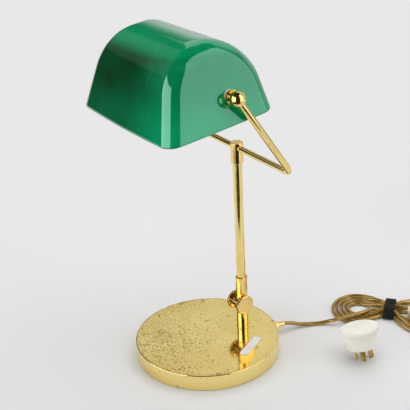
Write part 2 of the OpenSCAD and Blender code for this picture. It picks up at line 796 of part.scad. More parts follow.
module cord_tie()
  color([0.07, 0.07, 0.08])
  translate([strap_at[0], strap_at[1], 0])
  rotate([0, 0, strap_turn])
  difference() {
    translate([-strap_half, 0, 0]) rotate([90, 0, 90]) linear_extrude(2 * strap_half) tie_section(1.2);
    translate([-2 * strap_half, 0, 0]) rotate([90, 0, 90]) linear_extrude(4 * strap_half) tie_section(0);
  }

// the strap's inner opening, grown by wall all round
module tie_section(wall) {
  low = 1.4 - wall;
  high = 12.8 + wall;
  left = -19.3 - wall;
  right = 17.9 + wall;
  r = 2.8 + wall;
  translate([left + r, low]) square([right - left - 2 * r, high - low]);
  translate([left, low + r]) square([right - left, high - low - 2 * r]);
  for (x = [left + r, right - r], z = [low + r, high - r])
    translate([x, z]) circle(r = r);
}

// switch on the cord, lying along the hank
module at_switch()
  translate(from_hank(switch_at)) rotate([0, 0, strap_turn]) children();

module switch_shell(z0, z1)
  translate([0, 0, z0]) linear_extrude(z1 - z0) {
    square([switch_l - 14, 20], center = true);
    square([switch_l, 12], center = true);
    for (sx = [-1, 1], sy = [-1, 1])
      translate([sx * (switch_l / 2 - 7), sy * 3]) circle(r = 7);
  }

module cord_switch_base()
  color([0.92, 0.90, 0.80])
  at_switch()
  difference() {
    switch_shell(0.3, 9.5);
    translate([-9, -5.5, 3]) cube([18, 11, 20]);
    translate([0, 0, 9.5]) xrod(cord_r + 0.1, -40, -16);
    translate([0, 0, 9.5]) xrod(cord_r + 0.1, 16, 40);
    for (side = [-1, 1])
      translate([side * 12.5, side * 6, 4]) cylinder(d = 2.4, h = 20);
  }

module cord_switch_lid()
  color([0.94, 0.92, 0.83])
  at_switch()
  difference() {
    union() {
      switch_shell(9.52, 17);
      translate([0, 0, 16.9]) linear_extrude(1.1) square([26, 14], center = true);
    }
    translate([-8.3, -4.8, 0]) cube([16.6, 9.6, 30]);
    translate([0, 0, 9.5]) xrod(cord_r + 0.1, -40, -16);
    translate([0, 0, 9.5]) xrod(cord_r + 0.1, 16, 40);
    translate([0, 0, 14.5]) rotate([90, 0, 0]) translate([0, 0, -6.5]) cylinder(d = 2.1, h = 13);
    for (side = [-1, 1])
      translate([side * 12.5, side * 6, 2]) cylinder(d = 2.4, h = 20);
    for (side = [-1, 1])
      translate([side * 12.5, side * 6, 14]) cylinder(d = 4.4, h = 20);
  }

module switch_rocker()
  color([0.12, 0.12, 0.12])
  at_switch()
  translate([0, 0, 14.5])
  rotate([0, 7, 0])
  union() {
    rotate([90, 0, 0]) translate([0, 0, -6.2]) cylinder(d = 2, h = 12.4);
    intersection() {
      translate([-7.8, -4.5, -3]) cube([15.6, 9, 10]);
      translate([0, 0, 31]) rotate([90, 0, 0]) translate([0, 0, -10]) difference() {
        cylinder(r = 34, h = 20);
        cylinder(r = 26.4, h = 20);
      }
    }
  }

module switch_screws()
  color([0.72, 0.70, 0.60])
  at_switch()
  for (side = [-1, 1])
    translate([side * 12.5, side * 6, 0])
    difference() {
      union() {
        translate([0, 0, 5]) cylinder(d = 2.4, h = 9.5);
        translate([0, 0, 14]) cylinder(d = 4.2, h = 1.6);
      }
      translate([-3, -0.3, 15]) cube([6, 0.6, 2]);
    }

// plug, built with its pins down and its pin face at z = 0
// the flat pins as bars up from their ends: two at right angles to each other and the earth pin across
module pin_bars(live_end, earth_end, top) {
  for (turn = [45, -45])
    rotate([0, 0, earth_turn + 180 + turn])
    translate([live_out - pin_t / 2, -pin_w / 2, live_end]) cube([pin_t, pin_w, top - live_end]);
  rotate([0, 0, earth_turn])
    translate([earth_out - pin_w / 2, -pin_t / 2, earth_end]) cube([pin_w, pin_t, top - earth_end]);
}

// things placed at the plug's two screws
module at_plug_screws(z)
  for (side = [-1, 1])
    rotate([0, 0, earth_turn]) translate([-2, side * plug_screw_out, z]) children();

// the way in for the cord
module lead_in(from)
  rotate([0, 0, lead_in_turn]) translate([0, 0, lead_in_z]) xrod(cord_r + 0.15, from, plug_d);

module plug_base()
  color([0.93, 0.92, 0.85])
  at_plug()
  difference() {
    union() {
      cylinder(d1 = plug_body_d - 4.4, d2 = plug_body_d - 2.4, h = 1.2);
      translate([0, 0, 1.2 - eps]) cylinder(d = plug_body_d - 2.4, h = 2.79);
      translate([0, 0, 3.9]) cylinder(d = plug_body_d - 8, h = 6);
    }
    pin_bars(-1, -1, 19);
    at_plug_screws(-1) cylinder(d = plug_screw_d, h = 20);
    lead_in(14);
  }

module plug_cover()
  color([0.94, 0.93, 0.87])
  at_plug()
  difference() {
    union() {
      translate([0, 0, 4]) cylinder(d1 = plug_body_d - 2.2, d2 = plug_body_d, h = plug_h - rim_h - 4);
      translate([0, 0, plug_h - rim_h]) cylinder(d1 = plug_d - 1, d2 = plug_d, h = 0.6);
      translate([0, 0, plug_h - rim_h + 0.6 - eps]) cylinder(d = plug_d, h = rim_h - 1.98);
      translate([0, 0, plug_h - 1.4]) cylinder(d1 = plug_d, d2 = plug_d - 2.4, h = 1.4);
    }
    translate([0, 0, 3]) cylinder(d = plug_body_d - 7.6, h = plug_h - 7);
    lead_in(10);
    at_plug_screws(3) cylinder(d = plug_screw_d, h = plug_h - 7);
  }

module plug_pins()
  color([0.70, 0.56, 0.28])
  at_plug()
  pin_bars(-17, -20, 9);

// screws from the pin side, their heads sunk in the base
module plug_screws()
  color([0.72, 0.70, 0.60])
  at_plug()
  at_plug_screws(0)
  difference() {
    translate([0, 0, 0.4]) cylinder(d = plug_screw_d, h = plug_h - 5);
    translate([-4, -0.4, -0.4]) cube([8, 0.8, 1.4]);
  }

echo(hank_gap_mm = hank_gap());

base_cover();
base_weight();
base_pad();
foot_nut();
foot_washer();
cord_nipple();
nipple_nut();
base_lead();
blank_tag();
post();
hinge_fork();
hinge_bolt();
hinge_washers();
near_knob();
stem_socket();
stem_tube();
top_fitting();
stem_lead();
friction_pad();
friction_screw();
yoke_tube();
ball_left();
ball_right();
pivot_studs();
stud_nuts();
lampholder();
holder_ring();
bulb_cap();
bulb_glass();
shade_glass();
pivot_collars();
glass_gaskets();
cord_run();
cord_switch_base();
cord_switch_lid();
switch_rocker();
switch_screws();
cord_link();
cord_hank();
cord_tie();
cord_tail();
plug_base();
plug_cover();
plug_pins();
plug_screws();
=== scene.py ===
import math
from math import cos, pi, radians, sin, sqrt

import bpy
import numpy as np
from mathutils import Matrix, Vector


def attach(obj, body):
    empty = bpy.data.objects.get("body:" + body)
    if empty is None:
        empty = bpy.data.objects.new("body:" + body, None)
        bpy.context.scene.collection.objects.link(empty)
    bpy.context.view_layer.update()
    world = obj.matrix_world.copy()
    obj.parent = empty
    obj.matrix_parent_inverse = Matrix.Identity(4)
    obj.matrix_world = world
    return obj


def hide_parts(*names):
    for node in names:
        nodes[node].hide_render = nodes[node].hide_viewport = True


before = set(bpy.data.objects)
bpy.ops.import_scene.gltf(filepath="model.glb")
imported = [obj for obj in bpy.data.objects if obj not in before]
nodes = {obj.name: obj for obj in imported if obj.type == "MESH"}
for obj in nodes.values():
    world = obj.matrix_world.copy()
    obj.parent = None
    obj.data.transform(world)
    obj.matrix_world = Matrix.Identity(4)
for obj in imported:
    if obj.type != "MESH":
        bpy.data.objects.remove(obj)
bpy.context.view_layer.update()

MM = 0.001

# Sizes of the lamp, in millimetres, as the frame has them
BASE_R = 95.0
BASE_H = 22.0
FOOT_OFFSET = 51.0
BASE_TURN = radians(13)
FOOT = Vector((FOOT_OFFSET * sin(BASE_TURN), FOOT_OFFSET * cos(BASE_TURN), 0))
POST_R = 7.5
HINGE_H = 39.0
HINGE = Vector((FOOT.x, FOOT.y - 3, BASE_H + HINGE_H))
BARREL_L = 17.2
KNOB_R = 13.2
KNOB_T = 3.6
KNOB_TEETH = 44
TOOTH = 0.7
BOLT_R = 2.5
TURN_GAP = 0.05
FACE_GAP = 0.1
STEM_R = 6.0
BAR = Vector((FOOT.x, FOOT.y, HINGE.z + 218.5))
FITTING_R = 8.0
FITTING_L = 27.0
# How far from the hinge's axis post and stem end, and where stem and fitting end beside the yoke's bar
HINGE_REACH = 18
STEM_UNDER_BAR = 8
FITTING_OVER_BAR = 7
YOKE_R = 4.0
YOKE_HALF = 110.0
YOKE_REACH = 125.0
YOKE_BEND = 12.0
YOKE_IN_BALL = 5
YOKE_ANGLE = radians(55.8)
BALL_R = 9.0
PIVOT = Vector((FOOT.x, BAR.y - YOKE_REACH * cos(YOKE_ANGLE),
                BAR.z + YOKE_REACH * sin(YOKE_ANGLE)))
SHADE_TIP = radians(7.3)
PIVOT_UP = 30.4
PIVOT_BACK = 11.8
GLASS_T = 3.5
CORD_D = 5.2
CORE_TWIST = 28


def add_object(name, data):
    """A new object at the origin, in the scene."""
    made = bpy.data.objects.new(name, data)
    bpy.context.scene.collection.objects.link(made)
    return made


# Camera

PHOTO_SIZE = 410
FOCAL_PIXELS = 900
EYE = Vector((0.8738, -0.5249, 0.6743))
AHEAD = Vector((-0.77776, 0.47315, -0.41379))
UP = Vector((-0.32654, 0.25835, 0.90919))


def make_camera():
    lens = bpy.data.cameras.new("photo_camera")
    lens.sensor_width = 36
    lens.lens = FOCAL_PIXELS / PHOTO_SIZE * lens.sensor_width
    camera = add_object("photo_camera", lens)
    back = -AHEAD.normalized()
    right = UP.cross(back).normalized()
    up = back.cross(right)
    turn = Matrix((right, up, back)).transposed().to_4x4()
    camera.matrix_world = Matrix.Translation(EYE) @ turn
    bpy.context.scene.camera = camera


make_camera()


# Routes of the cord, the same points as the frame's own, in millimetres

STRAP_AT = Vector((77.5, 254, 0))
STRAP_TURN = radians(40)
STRAP_HALF = 7.2
STRAP_T = 1.2
STRAP_OPENING = (-19.3, 17.9, 1.4, 12.8)
STRAP_CORNER = 2.8
STRAP_END_AT = 6
STRAP_END_L = 17.0
SWITCH_N = -9.8
SWITCH_Z = 9.5
SWITCH_ENDS = (31.8, 64.2)
NIPPLE_Z = 11.0
NIPPLE_OUT = 16.0
PLUG_AT = Vector((139, 149, 18.8))
PLUG_TILT = radians(15.8)
PLUG_AWAY = radians(-82)
PLUG_BODY_R = 22.0
PLUG_RIM_R = 25.25
PLUG_H = 26.8
PLUG_RIM_H = 6.4
LEAD_IN_TURN = 148
LEAD_IN_Z = 10


def from_hank(point):
    """A point given along, across and above the hank, in the lamp's own directions."""
    along, across, up = point
    c, s = cos(STRAP_TURN), sin(STRAP_TURN)
    return STRAP_AT + Vector((along * c - across * s, along * s + across * c, up))


PLUG_LEAN = Matrix.Rotation(PLUG_TILT, 3, Vector((cos(PLUG_AWAY), sin(PLUG_AWAY), 0)))


def from_plug(angle, out, up):
    """A point given by direction, distance from the plug's axis and height above its pin face."""
    a = radians(angle)
    return PLUG_AT + PLUG_LEAN @ Vector((out * cos(a), out * sin(a), up))


def smooth_route(points, steps=8):
    """Points on a smooth curve through the given ones."""
    n = len(points)
    route = []
    for i in range(n - 1):
        a = points[i - 1] if i else 2 * points[0] - points[1]
        b, c = points[i], points[i + 1]
        d = points[i + 2] if i < n - 2 else 2 * points[-1] - points[-2]
        for s in range(steps):
            t = s / steps
            route.append(0.5 * (2 * b + (c - a) * t + (2 * a - 5 * b + 4 * c - d) * t * t
                                + (3 * b - a - 3 * c + d) * t * t * t))
    return route + [points[-1]]


def at_nipple(out):
    r = BASE_R + out
    return Vector((r * sin(BASE_TURN), r * cos(BASE_TURN), NIPPLE_Z))


RUN_ON_FLOOR = [(27.4, 119, 8.9), (31.9, 130.8, 5), (38.3, 146.8, 2.9), (44.5, 157.5, 3.3),
                (50.5, 167, 5.6)]
RUN_OVER_HANK = [(-69, -49, 8.2), (-60, -42.5, 9.4), (-51, -36, 9.5), (-42.5, -29, 9.3), (-35, -22, 9.1),
                 (-28.5, -14.5, 8.9), (-22, -8, 7.4), (-15, -4, 5.6), (-8, -2.4, 4.8), (0, -2, 4.6),
                 (7.5, -2.3, 4.6), (13, -4.6, 5.8), (17.6, -8, 8), (21.6, SWITCH_N + 0.2, 9.4),
                 (25, SWITCH_N, SWITCH_Z)]
LINK_POINTS = [(80.5, 12.6, 3), (85, 7.6, 4), (86.4, 1.4, 5.6), (84.6, -5.2, 7.6), (80, -9.4, 9.2),
               (75.2, SWITCH_N, SWITCH_Z), (71, SWITCH_N, SWITCH_Z)]
TAIL_POINTS = [(-57, -36.5, 2.85), (-49, -44.5, 2.85), (-42.5, -52, 2.85), (-38, -60.5, 3.6),
               (-35.8, -69, 7), (-34.8, -76.5, 12.4)]

HANK_LEFT = 44.0
HANK_RIGHT = 72.0
END_FLAT = 0.94
INNER_HALF = (12, 4.7, 17.5)
MIDDLE = (-3, -1.5, -4)
STRAND_STEP = (7.3, 6.5, 8.8)
LAYER_STEP = 5.6
FLOOR_Z = 2.85
STRAP_LIFT = 1.4
FIRST_TURN = 0.05
LAST_TURN = 3.5
HANK_STEPS = 120
# Half of the narrow stretch under the strap, and how far the hank takes to swell beside it
WAIST_HALF = 9
SWELL = 34
# The parts of a turn at which the left end, the run out and the right end are past
LEFT_END, RUN_OUT, RIGHT_END = 0.2, 0.5, 0.7


def ease(x):
    c = max(0, min(1, x))
    return c * c * (3 - 2 * c)


def near_strap(along):
    return 1 - ease((abs(along) - WAIST_HALF) / 30)


def from_waist(values, along, part):
    return values[1] + (values[0 if along < 0 else 2] - values[1]) * part


def strand_gap(along):
    wide = from_waist(STRAND_STEP, along, ease((abs(along) - 7) / 10))
    return sqrt(wide * wide - (LAYER_STEP * near_strap(along)) ** 2)


def half_width(along, turn):
    swell = ease((abs(along) - WAIST_HALF) / SWELL)
    return from_waist(INNER_HALF, along, swell) + strand_gap(along) * (LAST_TURN - turn)


def hank_strand(v, turn, side):
    along = (-HANK_LEFT if v < 0 else HANK_RIGHT) * abs(v) ** 1.3
    middle = from_waist(MIDDLE, along, ease((abs(along) - WAIST_HALF) / SWELL))
    up = FLOOR_Z + near_strap(along) * (STRAP_LIFT + LAYER_STEP * (math.floor(turn) % 2))
    return along, middle + side * half_width(along, turn), up


def hank_point(turn):
    """One point of the hank: a turn is a left end, a run out, a right end and a run back."""
    f = turn - math.floor(turn)
    if f < LEFT_END:
        r, a = half_width(-HANK_LEFT, turn), pi * f / LEFT_END
        return -HANK_LEFT - r * sin(a) * END_FLAT, MIDDLE[0] - r * cos(a), FLOOR_Z
    if f < RUN_OUT:
        return hank_strand((f - 0.35) / 0.15, turn, 1)
    if f < RIGHT_END:
        r, a = half_width(HANK_RIGHT, turn), pi * (f - RUN_OUT) / LEFT_END
        return HANK_RIGHT + r * sin(a) * END_FLAT, MIDDLE[2] + r * cos(a), FLOOR_Z
    return hank_strand((0.85 - f) / 0.15, turn, -1)


def run_route():
    points = [at_nipple(NIPPLE_OUT - 4), at_nipple(NIPPLE_OUT + 1)]
    points += [Vector(p) for p in RUN_ON_FLOOR] + [from_hank(p) for p in RUN_OVER_HANK]
    return smooth_route(points) + [from_hank((SWITCH_ENDS[0], SWITCH_N, SWITCH_Z))]


def hank_route():
    """From the switch round the hank, from its inmost strand to its outmost, and on to the plug."""
    count = round((LAST_TURN - FIRST_TURN) * HANK_STEPS)
    turns = [FIRST_TURN + (LAST_TURN - FIRST_TURN) * i / count for i in range(count + 1)]
    hank = [from_hank(hank_point(t)) for t in turns]
    inner_way = (hank[-1] - hank[-2]).normalized()
    outer_way = (hank[0] - hank[1]).normalized()
    link = smooth_route([hank[-1] + 3 * inner_way] + [from_hank(p) for p in LINK_POINTS])
    link.append(from_hank((SWITCH_ENDS[1], SWITCH_N, SWITCH_Z)))
    tail = [hank[0] + 3 * outer_way] + [from_hank(p) for p in TAIL_POINTS]
    tail += [from_plug(LEAD_IN_TURN, 34, 9.4), from_plug(LEAD_IN_TURN, 28, LEAD_IN_Z)]
    tail = smooth_route(tail) + [from_plug(LEAD_IN_TURN, out, LEAD_IN_Z) for out in (24, 18)]
    return link[::-1] + hank[::-1] + tail


# Mesh helpers


def new_piece(name, points, faces):
    """A smooth mesh object at the origin, from points in millimetres."""
    mesh = bpy.data.meshes.new(name)
    mesh.from_pydata([tuple(Vector(p) * MM) for p in points], [], faces)
    mesh.update()
    mesh.shade_smooth()
    return add_object(name, mesh)


def sharpen(piece, angle=35):
    """Keeps edges past this angle crisp on a smooth mesh."""
    piece.data.set_sharp_from_angle(angle=radians(angle))
    return piece


def tube(name, route, radius, sides=20):
    """A closed tube along a route, with U along it in millimetres and V once round it."""
    points = [Vector(p) for p in route]
    last = len(points) - 1
    ways = [(points[min(i + 1, last)] - points[max(i - 1, 0)]).normalized() for i in range(last + 1)]
    across = ways[0].orthogonal().normalized()
    rings, run, reached = [], [], 0.0
    for i, (p, way) in enumerate(zip(points, ways)):
        across = (across - way * across.dot(way)).normalized()
        other = way.cross(across)
        reached += (p - points[i - 1]).length if i else 0
        run.append(reached)
        for k in range(sides):
            a = 2 * pi * k / sides
            rings.append(p + radius * (cos(a) * across + sin(a) * other))
    faces, uvs = [], []
    for i in range(last):
        for k in range(sides):
            m = (k + 1) % sides
            faces.append((i * sides + k, i * sides + m, (i + 1) * sides + m, (i + 1) * sides + k))
            v0, v1 = k / sides, (k + 1) / sides
            uvs += [(run[i], v0), (run[i], v1), (run[i + 1], v1), (run[i + 1], v0)]
    faces.append(tuple(range(sides))[::-1])
    uvs += [(0, 0)] * sides
    faces.append(tuple(last * sides + k for k in range(sides)))
    uvs += [(run[-1], 0)] * sides
    piece = new_piece(name, rings, faces)
    flat = np.array(uvs, np.float32).reshape(-1)
    piece.data.uv_layers.new(name="UVMap").data.foreach_set("uv", flat)
    return sharpen(piece, 60)


def fillet(profile, radius, steps=4):
    """A profile of (out, up) corners, the inner ones made round; a third value overrides the radius."""
    result = []
    for i, corner in enumerate(profile):
        here = Vector(corner[:2])
        r = corner[2] if len(corner) > 2 else radius
        if i in (0, len(profile) - 1) or r <= 0:
            result.append(tuple(here))
            continue
        a, b = Vector(profile[i - 1][:2]) - here, Vector(profile[i + 1][:2]) - here
        half = a.angle(b) / 2
        back = min(r / math.tan(half), a.length * 0.49, b.length * 0.49)
        start, end = here + a.normalized() * back, here + b.normalized() * back
        for s in range(steps + 1):
            t = s / steps
            result.append(tuple(start * (1 - t) ** 2 + here * 2 * t * (1 - t) + end * t * t))
    return result


def holding_rings(profile, reach=0.25):
    """Adds a point close to both ends of each long straight, so that flats and walls shade as flat."""
    result = []
    for a, b in zip(profile, profile[1:]):
        a, b = Vector(a), Vector(b)
        result.append(tuple(a))
        if (b - a).length > 4 * reach:
            step = (b - a).normalized() * reach
            result += [tuple(a + step), tuple(b - step)]
    return result + [profile[-1]]


def lathe(name, profile, middle, axis=(0, 0, 1), sides=96, radius=0.3):
    """A profile of (out, up) from the axis to the axis, turned about a line through middle."""
    profile = holding_rings(fillet(profile, radius))
    turn = Vector((0, 0, 1)).rotation_difference(Vector(axis)).to_matrix()
    points, faces, rows = [], [], []
    for out, up in profile:
        if out < 1e-6:
            rows.append([len(points)])
            points.append(Vector(middle) + turn @ Vector((0, 0, up)))
            continue
        rows.append(list(range(len(points), len(points) + sides)))
        for k in range(sides):
            a = 2 * pi * k / sides
            points.append(Vector(middle) + turn @ Vector((out * cos(a), out * sin(a), up)))
    for low, high in zip(rows, rows[1:]):
        for k in range(sides):
            m = (k + 1) % sides
            face = (low[k % len(low)], low[m % len(low)], high[m % len(high)], high[k % len(high)])
            face = list(dict.fromkeys(face))
            if len(face) > 2:
                faces.append(face)
    piece = new_piece(name, points, faces)
    return sharpen(piece, 40)


def install(piece, body, finish, *stands_for):
    """Gives a piece its finish and its place on the frame."""
    piece.data.materials.clear()
    piece.data.materials.append(finishes[finish])
    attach(piece, body)
    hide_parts(*stands_for)
    return piece


# Materials


class Nodes:
    """A node tree under construction."""

    def __init__(self, tree):
        self.tree = tree

    def add(self, kind, settings=None, **inputs):
        node = self.tree.nodes.new(kind)
        for name, value in (settings or {}).items():
            setattr(node, name, value)
        for name, value in inputs.items():
            self.feed(node.inputs[name.replace("_", " ")], value)
        return node

    def feed(self, socket, value):
        if isinstance(value, bpy.types.NodeSocket):
            self.tree.links.new(value, socket)
        else:
            socket.default_value = value

    def ramp(self, value, low, high, start=0.0, end=1.0):
        """The value from low..high brought to start..end, with soft ends."""
        node = self.add("ShaderNodeMapRange", {"interpolation_type": "SMOOTHSTEP"})
        for index, item in enumerate((value, low, high, start, end)):
            self.feed(node.inputs[index], item)
        return node.outputs["Result"]

    def math(self, operation, a, b=0.0):
        node = self.add("ShaderNodeMath", {"operation": operation})
        self.feed(node.inputs[0], a)
        self.feed(node.inputs[1], b)
        return node.outputs[0]

    def times(self, a, b):
        return self.math("MULTIPLY", a, b)

    def plus(self, a, b):
        return self.math("ADD", a, b)

    def larger(self, a, b):
        return self.math("MAXIMUM", a, b)

    def split(self, vector):
        return self.add("ShaderNodeSeparateXYZ", Vector=vector).outputs


class Finish(Nodes):
    """One material under construction: its node tree and its surface shader."""

    def __init__(self, name, **surface):
        self.material = bpy.data.materials.new(name)
        self.material.use_nodes = True
        super().__init__(self.material.node_tree)
        self.surface = self.tree.nodes["Principled BSDF"]
        self.set(**surface)

    def coordinates(self, output="Object", scale=(1, 1, 1), turn=(0, 0, 0), shift=(0, 0, 0)):
        """Object coordinates in metres, or the piece's UV map, through a Mapping node."""
        place = self.add("ShaderNodeTexCoord").outputs[output]
        return self.add("ShaderNodeMapping", Vector=place, Scale=scale, Rotation=turn,
                        Location=shift).outputs["Vector"]

    def noise(self, scale, detail=3.0, roughness=0.5, distortion=0.0, at=None):
        node = self.add("ShaderNodeTexNoise", Vector=at or self.coordinates(), Scale=scale,
                        Detail=detail, Roughness=roughness, Distortion=distortion)
        return node.outputs["Fac"]

    def mix(self, part, first, second):
        node = self.add("ShaderNodeMix", {"data_type": "RGBA"})
        self.feed(node.inputs[0], part)
        self.feed(node.inputs[6], first)
        self.feed(node.inputs[7], second)
        return node.outputs[2]

    def relief(self, height, strength, distance, normal=None):
        node = self.add("ShaderNodeBump", Height=height, Strength=strength, Distance=distance)
        if normal is not None:
            self.feed(node.inputs["Normal"], normal)
        return node.outputs["Normal"]

    def soft_edge(self, radius):
        """A normal that rounds the hard edges of a piece by this much."""
        return self.add("ShaderNodeBevel", {"samples": 4}, Radius=radius).outputs["Normal"]

    def set(self, **sockets):
        for name, value in sockets.items():
            self.feed(self.surface.inputs[name.replace("_", " ")], value)


class Growth(Nodes):
    """A geometry tree under construction, with named inputs."""

    def __init__(self, name, kinds):
        super().__init__(bpy.data.node_groups.new(name, "GeometryNodeTree"))
        face = self.tree.interface
        face.new_socket("Geometry", in_out="INPUT", socket_type="NodeSocketGeometry")
        self.sockets = {}
        for label, kind in kinds.items():
            socket = face.new_socket(label, in_out="INPUT", socket_type="NodeSocket" + kind)
            self.sockets[label] = socket.identifier
        face.new_socket("Geometry", in_out="OUTPUT", socket_type="NodeSocketGeometry")
        self.given = self.add("NodeGroupInput").outputs

    def end(self, geometry, finish):
        """Ends the tree: instances made real, the material set, and the output."""
        real = self.add("GeometryNodeRealizeInstances", Geometry=geometry).outputs["Geometry"]
        painted = self.add("GeometryNodeSetMaterial", Geometry=real, Material=finishes[finish])
        self.add("NodeGroupOutput", Geometry=painted.outputs["Geometry"])

    def grow(self, source, values):
        """The plain mesh that the tree makes of an object with these values."""
        modifier = source.modifiers.new(self.tree.name, "NODES")
        modifier.node_group = self.tree
        for label, value in values.items():
            modifier[self.sockets[label]] = value
        bpy.context.view_layer.update()
        evaluated = source.evaluated_get(bpy.context.evaluated_depsgraph_get())
        mesh = bpy.data.meshes.new_from_object(evaluated)
        source.modifiers.clear()
        return mesh


def rgb(r, g, b):
    """A colour written as the eye sees it, 0 to 255, in the renderer's own linear values."""
    def linear(c):
        c /= 255
        return c / 12.92 if c <= 0.04045 else ((c + 0.055) / 1.055) ** 2.4
    return linear(r), linear(g), linear(b), 1.0


BRASS = rgb(252, 228, 150)
BRASS_DEEP = rgb(232, 205, 118)
BRASS_DULL = rgb(158, 122, 50)
TARNISH = rgb(96, 62, 14)
# Which way over the base the brown spots thin out, and between which distances
SPOTS_TURN = 0.35
SPOTS_REACH = (-75 * MM, 60 * MM)


def brass(name, clean=BRASS, worn=0.35, roughness=0.13, edge=0.0004):
    """Lacquered brass with thin scratches, dull clouds and small dark pits."""
    f = Finish(name, Metallic=1.0)
    clouds = f.ramp(f.noise(38, 4, 0.6), 0.42, 0.72)
    pits = f.ramp(f.noise(620, 2), 0.655, 0.72)
    cluster = f.ramp(f.noise(70, 2), 0.5, 0.66)
    spots = f.times(pits, cluster)
    colour = f.mix(f.times(clouds, worn), clean, BRASS_DEEP)
    colour = f.mix(f.times(spots, 0.8), colour, TARNISH)
    rough = f.plus(f.plus(f.times(clouds, 0.10), roughness), f.times(spots, 0.3))
    scratches = f.noise(900, 2, at=f.coordinates(scale=(1, 1, 0.05), turn=(0.3, 0.2, 0)))
    height = f.math("SUBTRACT", f.times(scratches, 0.3), spots)
    f.set(Base_Color=colour, Roughness=rough, Normal=f.relief(height, 0.12, 0.0003, f.soft_edge(edge)))
    return f.material


def spotted_brass():
    """The base's cover: a bright wall, and a top thick with brown spots and dull patches."""
    f = Finish("spotted_brass", Metallic=1.0)
    height_up = f.split(f.coordinates())["Z"]
    top = f.ramp(height_up, (BASE_H - 0.4) * MM, (BASE_H - 0.1) * MM)
    side = f.split(f.coordinates(turn=(0, 0, SPOTS_TURN)))["Y"]
    front = f.ramp(side, *SPOTS_REACH, 0.13, -0.02)
    haze = f.ramp(f.noise(24, 5, 0.65, 0.4), 0.36, 0.66)
    fine = f.ramp(f.plus(f.noise(520, 4, 0.6), front), 0.54, 0.72)
    specks = f.ramp(f.plus(f.noise(330, 3, 0.62, 0.5), f.times(front, 0.5)), 0.61, 0.69)
    groups = f.noise(20, 4, 0.6, at=f.coordinates(shift=(0.31, 0.12, 0)))
    crowd = f.ramp(f.plus(groups, front), 0.50, 0.60)
    blots = f.ramp(f.noise(62, 3, 0.6, 0.6, f.coordinates(shift=(0.05, 0.22, 0))), 0.645, 0.70)
    marks = f.times(f.times(specks, crowd), top)
    mottle = f.times(f.larger(f.times(fine, 0.25), f.times(blots, 0.45)), top)
    wall_pits = f.ramp(f.noise(260, 2, at=f.coordinates(shift=(0.1, 0.4, 0.2))), 0.68, 0.73)
    dark = f.larger(f.times(marks, 0.52), f.times(wall_pits, 0.9))
    colour = f.mix(f.times(haze, f.times(top, 0.5)), BRASS, BRASS_DEEP)
    colour = f.mix(dark, f.mix(mottle, colour, BRASS_DULL), TARNISH)
    rough = f.plus(f.plus(0.07, f.times(top, 0.03)), f.times(f.larger(mottle, marks), 0.3))
    relief = f.plus(f.times(fine, 0.2), marks)
    depth = f.plus(f.times(top, -0.8), -0.1)
    f.set(Base_Color=colour, Roughness=rough, Normal=f.relief(f.times(relief, depth), 0.12, 0.0003))
    return f.material


def green_glass():
    """The outside of the shade: deep green, glossy, with painted light that makes it paler towards the
    crown, the end at +X and the rim, and faint lighter streaks in the glass.
    """
    f = Finish("green_glass", Roughness=0.035, IOR=1.9, Specular_Tint=(0.25, 1.0, 0.7, 1),
               Coat_Weight=1.0, Coat_Roughness=0.02, Coat_IOR=1.5)
    here = f.coordinates(scale=(1, 1, 0.45), turn=(0.5, 0.35, 0.9))
    nearness = f.math("ABSOLUTE", f.math("SUBTRACT", f.noise(17, 3, 0.55, 1.6, here), 0.5))
    veins = f.ramp(nearness, 0.0, 0.03, 1.0, 0.0)
    along, _, height = f.split(f.coordinates())
    # Painted light: the glass is made paler towards the end at +X, towards the crown and towards the rim,
    # where the lamps light it more. The mask thin sums these painted lights with a little random tone.
    ends = f.ramp(along, 10 * MM, 124 * MM, 0.04, 0.66)
    crown = f.ramp(height, (PIVOT.z + 32) * MM, (PIVOT.z + 47) * MM, 0.0, 0.66)
    rim = f.ramp(height, (PIVOT.z - 30) * MM, (PIVOT.z + 12) * MM, 0.24, 0.0)
    thin = f.plus(f.larger(ends, crown), rim)
    thin = f.plus(thin, f.ramp(f.noise(9, 2), 0.3, 0.7, -0.08, 0.08))
    # Dark green where the painted light is weakest, pale teal where it is strongest.
    colour = f.mix(thin, rgb(0, 56, 16), rgb(0, 172, 112))
    colour = f.mix(f.times(veins, f.times(thin, 0.3)), colour, rgb(40, 170, 120))
    seeds = f.ramp(f.noise(900, 1, 0.4), 0.77, 0.8)
    f.set(Base_Color=f.mix(f.times(seeds, 0.5), colour, rgb(70, 160, 110)),
          Normal=f.relief(f.noise(14, 2), 0.05, 0.002))
    return f.material


def white_glass():
    """The inside of the shade: the white layer under the green."""
    f = Finish("white_glass", Roughness=0.12, IOR=1.5, Subsurface_Weight=0.15, Subsurface_Scale=0.002)
    cloud = f.noise(22)
    f.set(Base_Color=f.mix(cloud, rgb(232, 234, 222), rgb(244, 245, 238)),
          Normal=f.relief(f.noise(60, 2), 0.05, 0.001))
    return f.material


def gold_sheath():
    """The cord: gold coloured plastic with a faint twist of the cores under it."""
    f = Finish("gold_sheath", Metallic=0.6, Roughness=0.24, Coat_Weight=0.6, Coat_Roughness=0.1)
    along, about, _ = f.split(f.coordinates("UV"))
    cores = f.math("SINE", f.plus(f.times(along, 2 * pi / CORE_TWIST), f.times(about, 4 * pi)))
    shade = f.noise(45, 3, 0.55)
    colour = f.mix(f.ramp(shade, 0.3, 0.7), rgb(160, 124, 44), rgb(198, 162, 84))
    stains = f.ramp(f.noise(260, 2), 0.64, 0.72, 0, 0.35)
    colour = f.mix(stains, colour, rgb(120, 88, 34))
    grain = f.noise(800, 2)
    relief = f.plus(f.times(cores, 0.2), f.times(grain, 0.2))
    f.set(Base_Color=colour, Normal=f.relief(relief, 0.25, 0.0003))
    return f.material


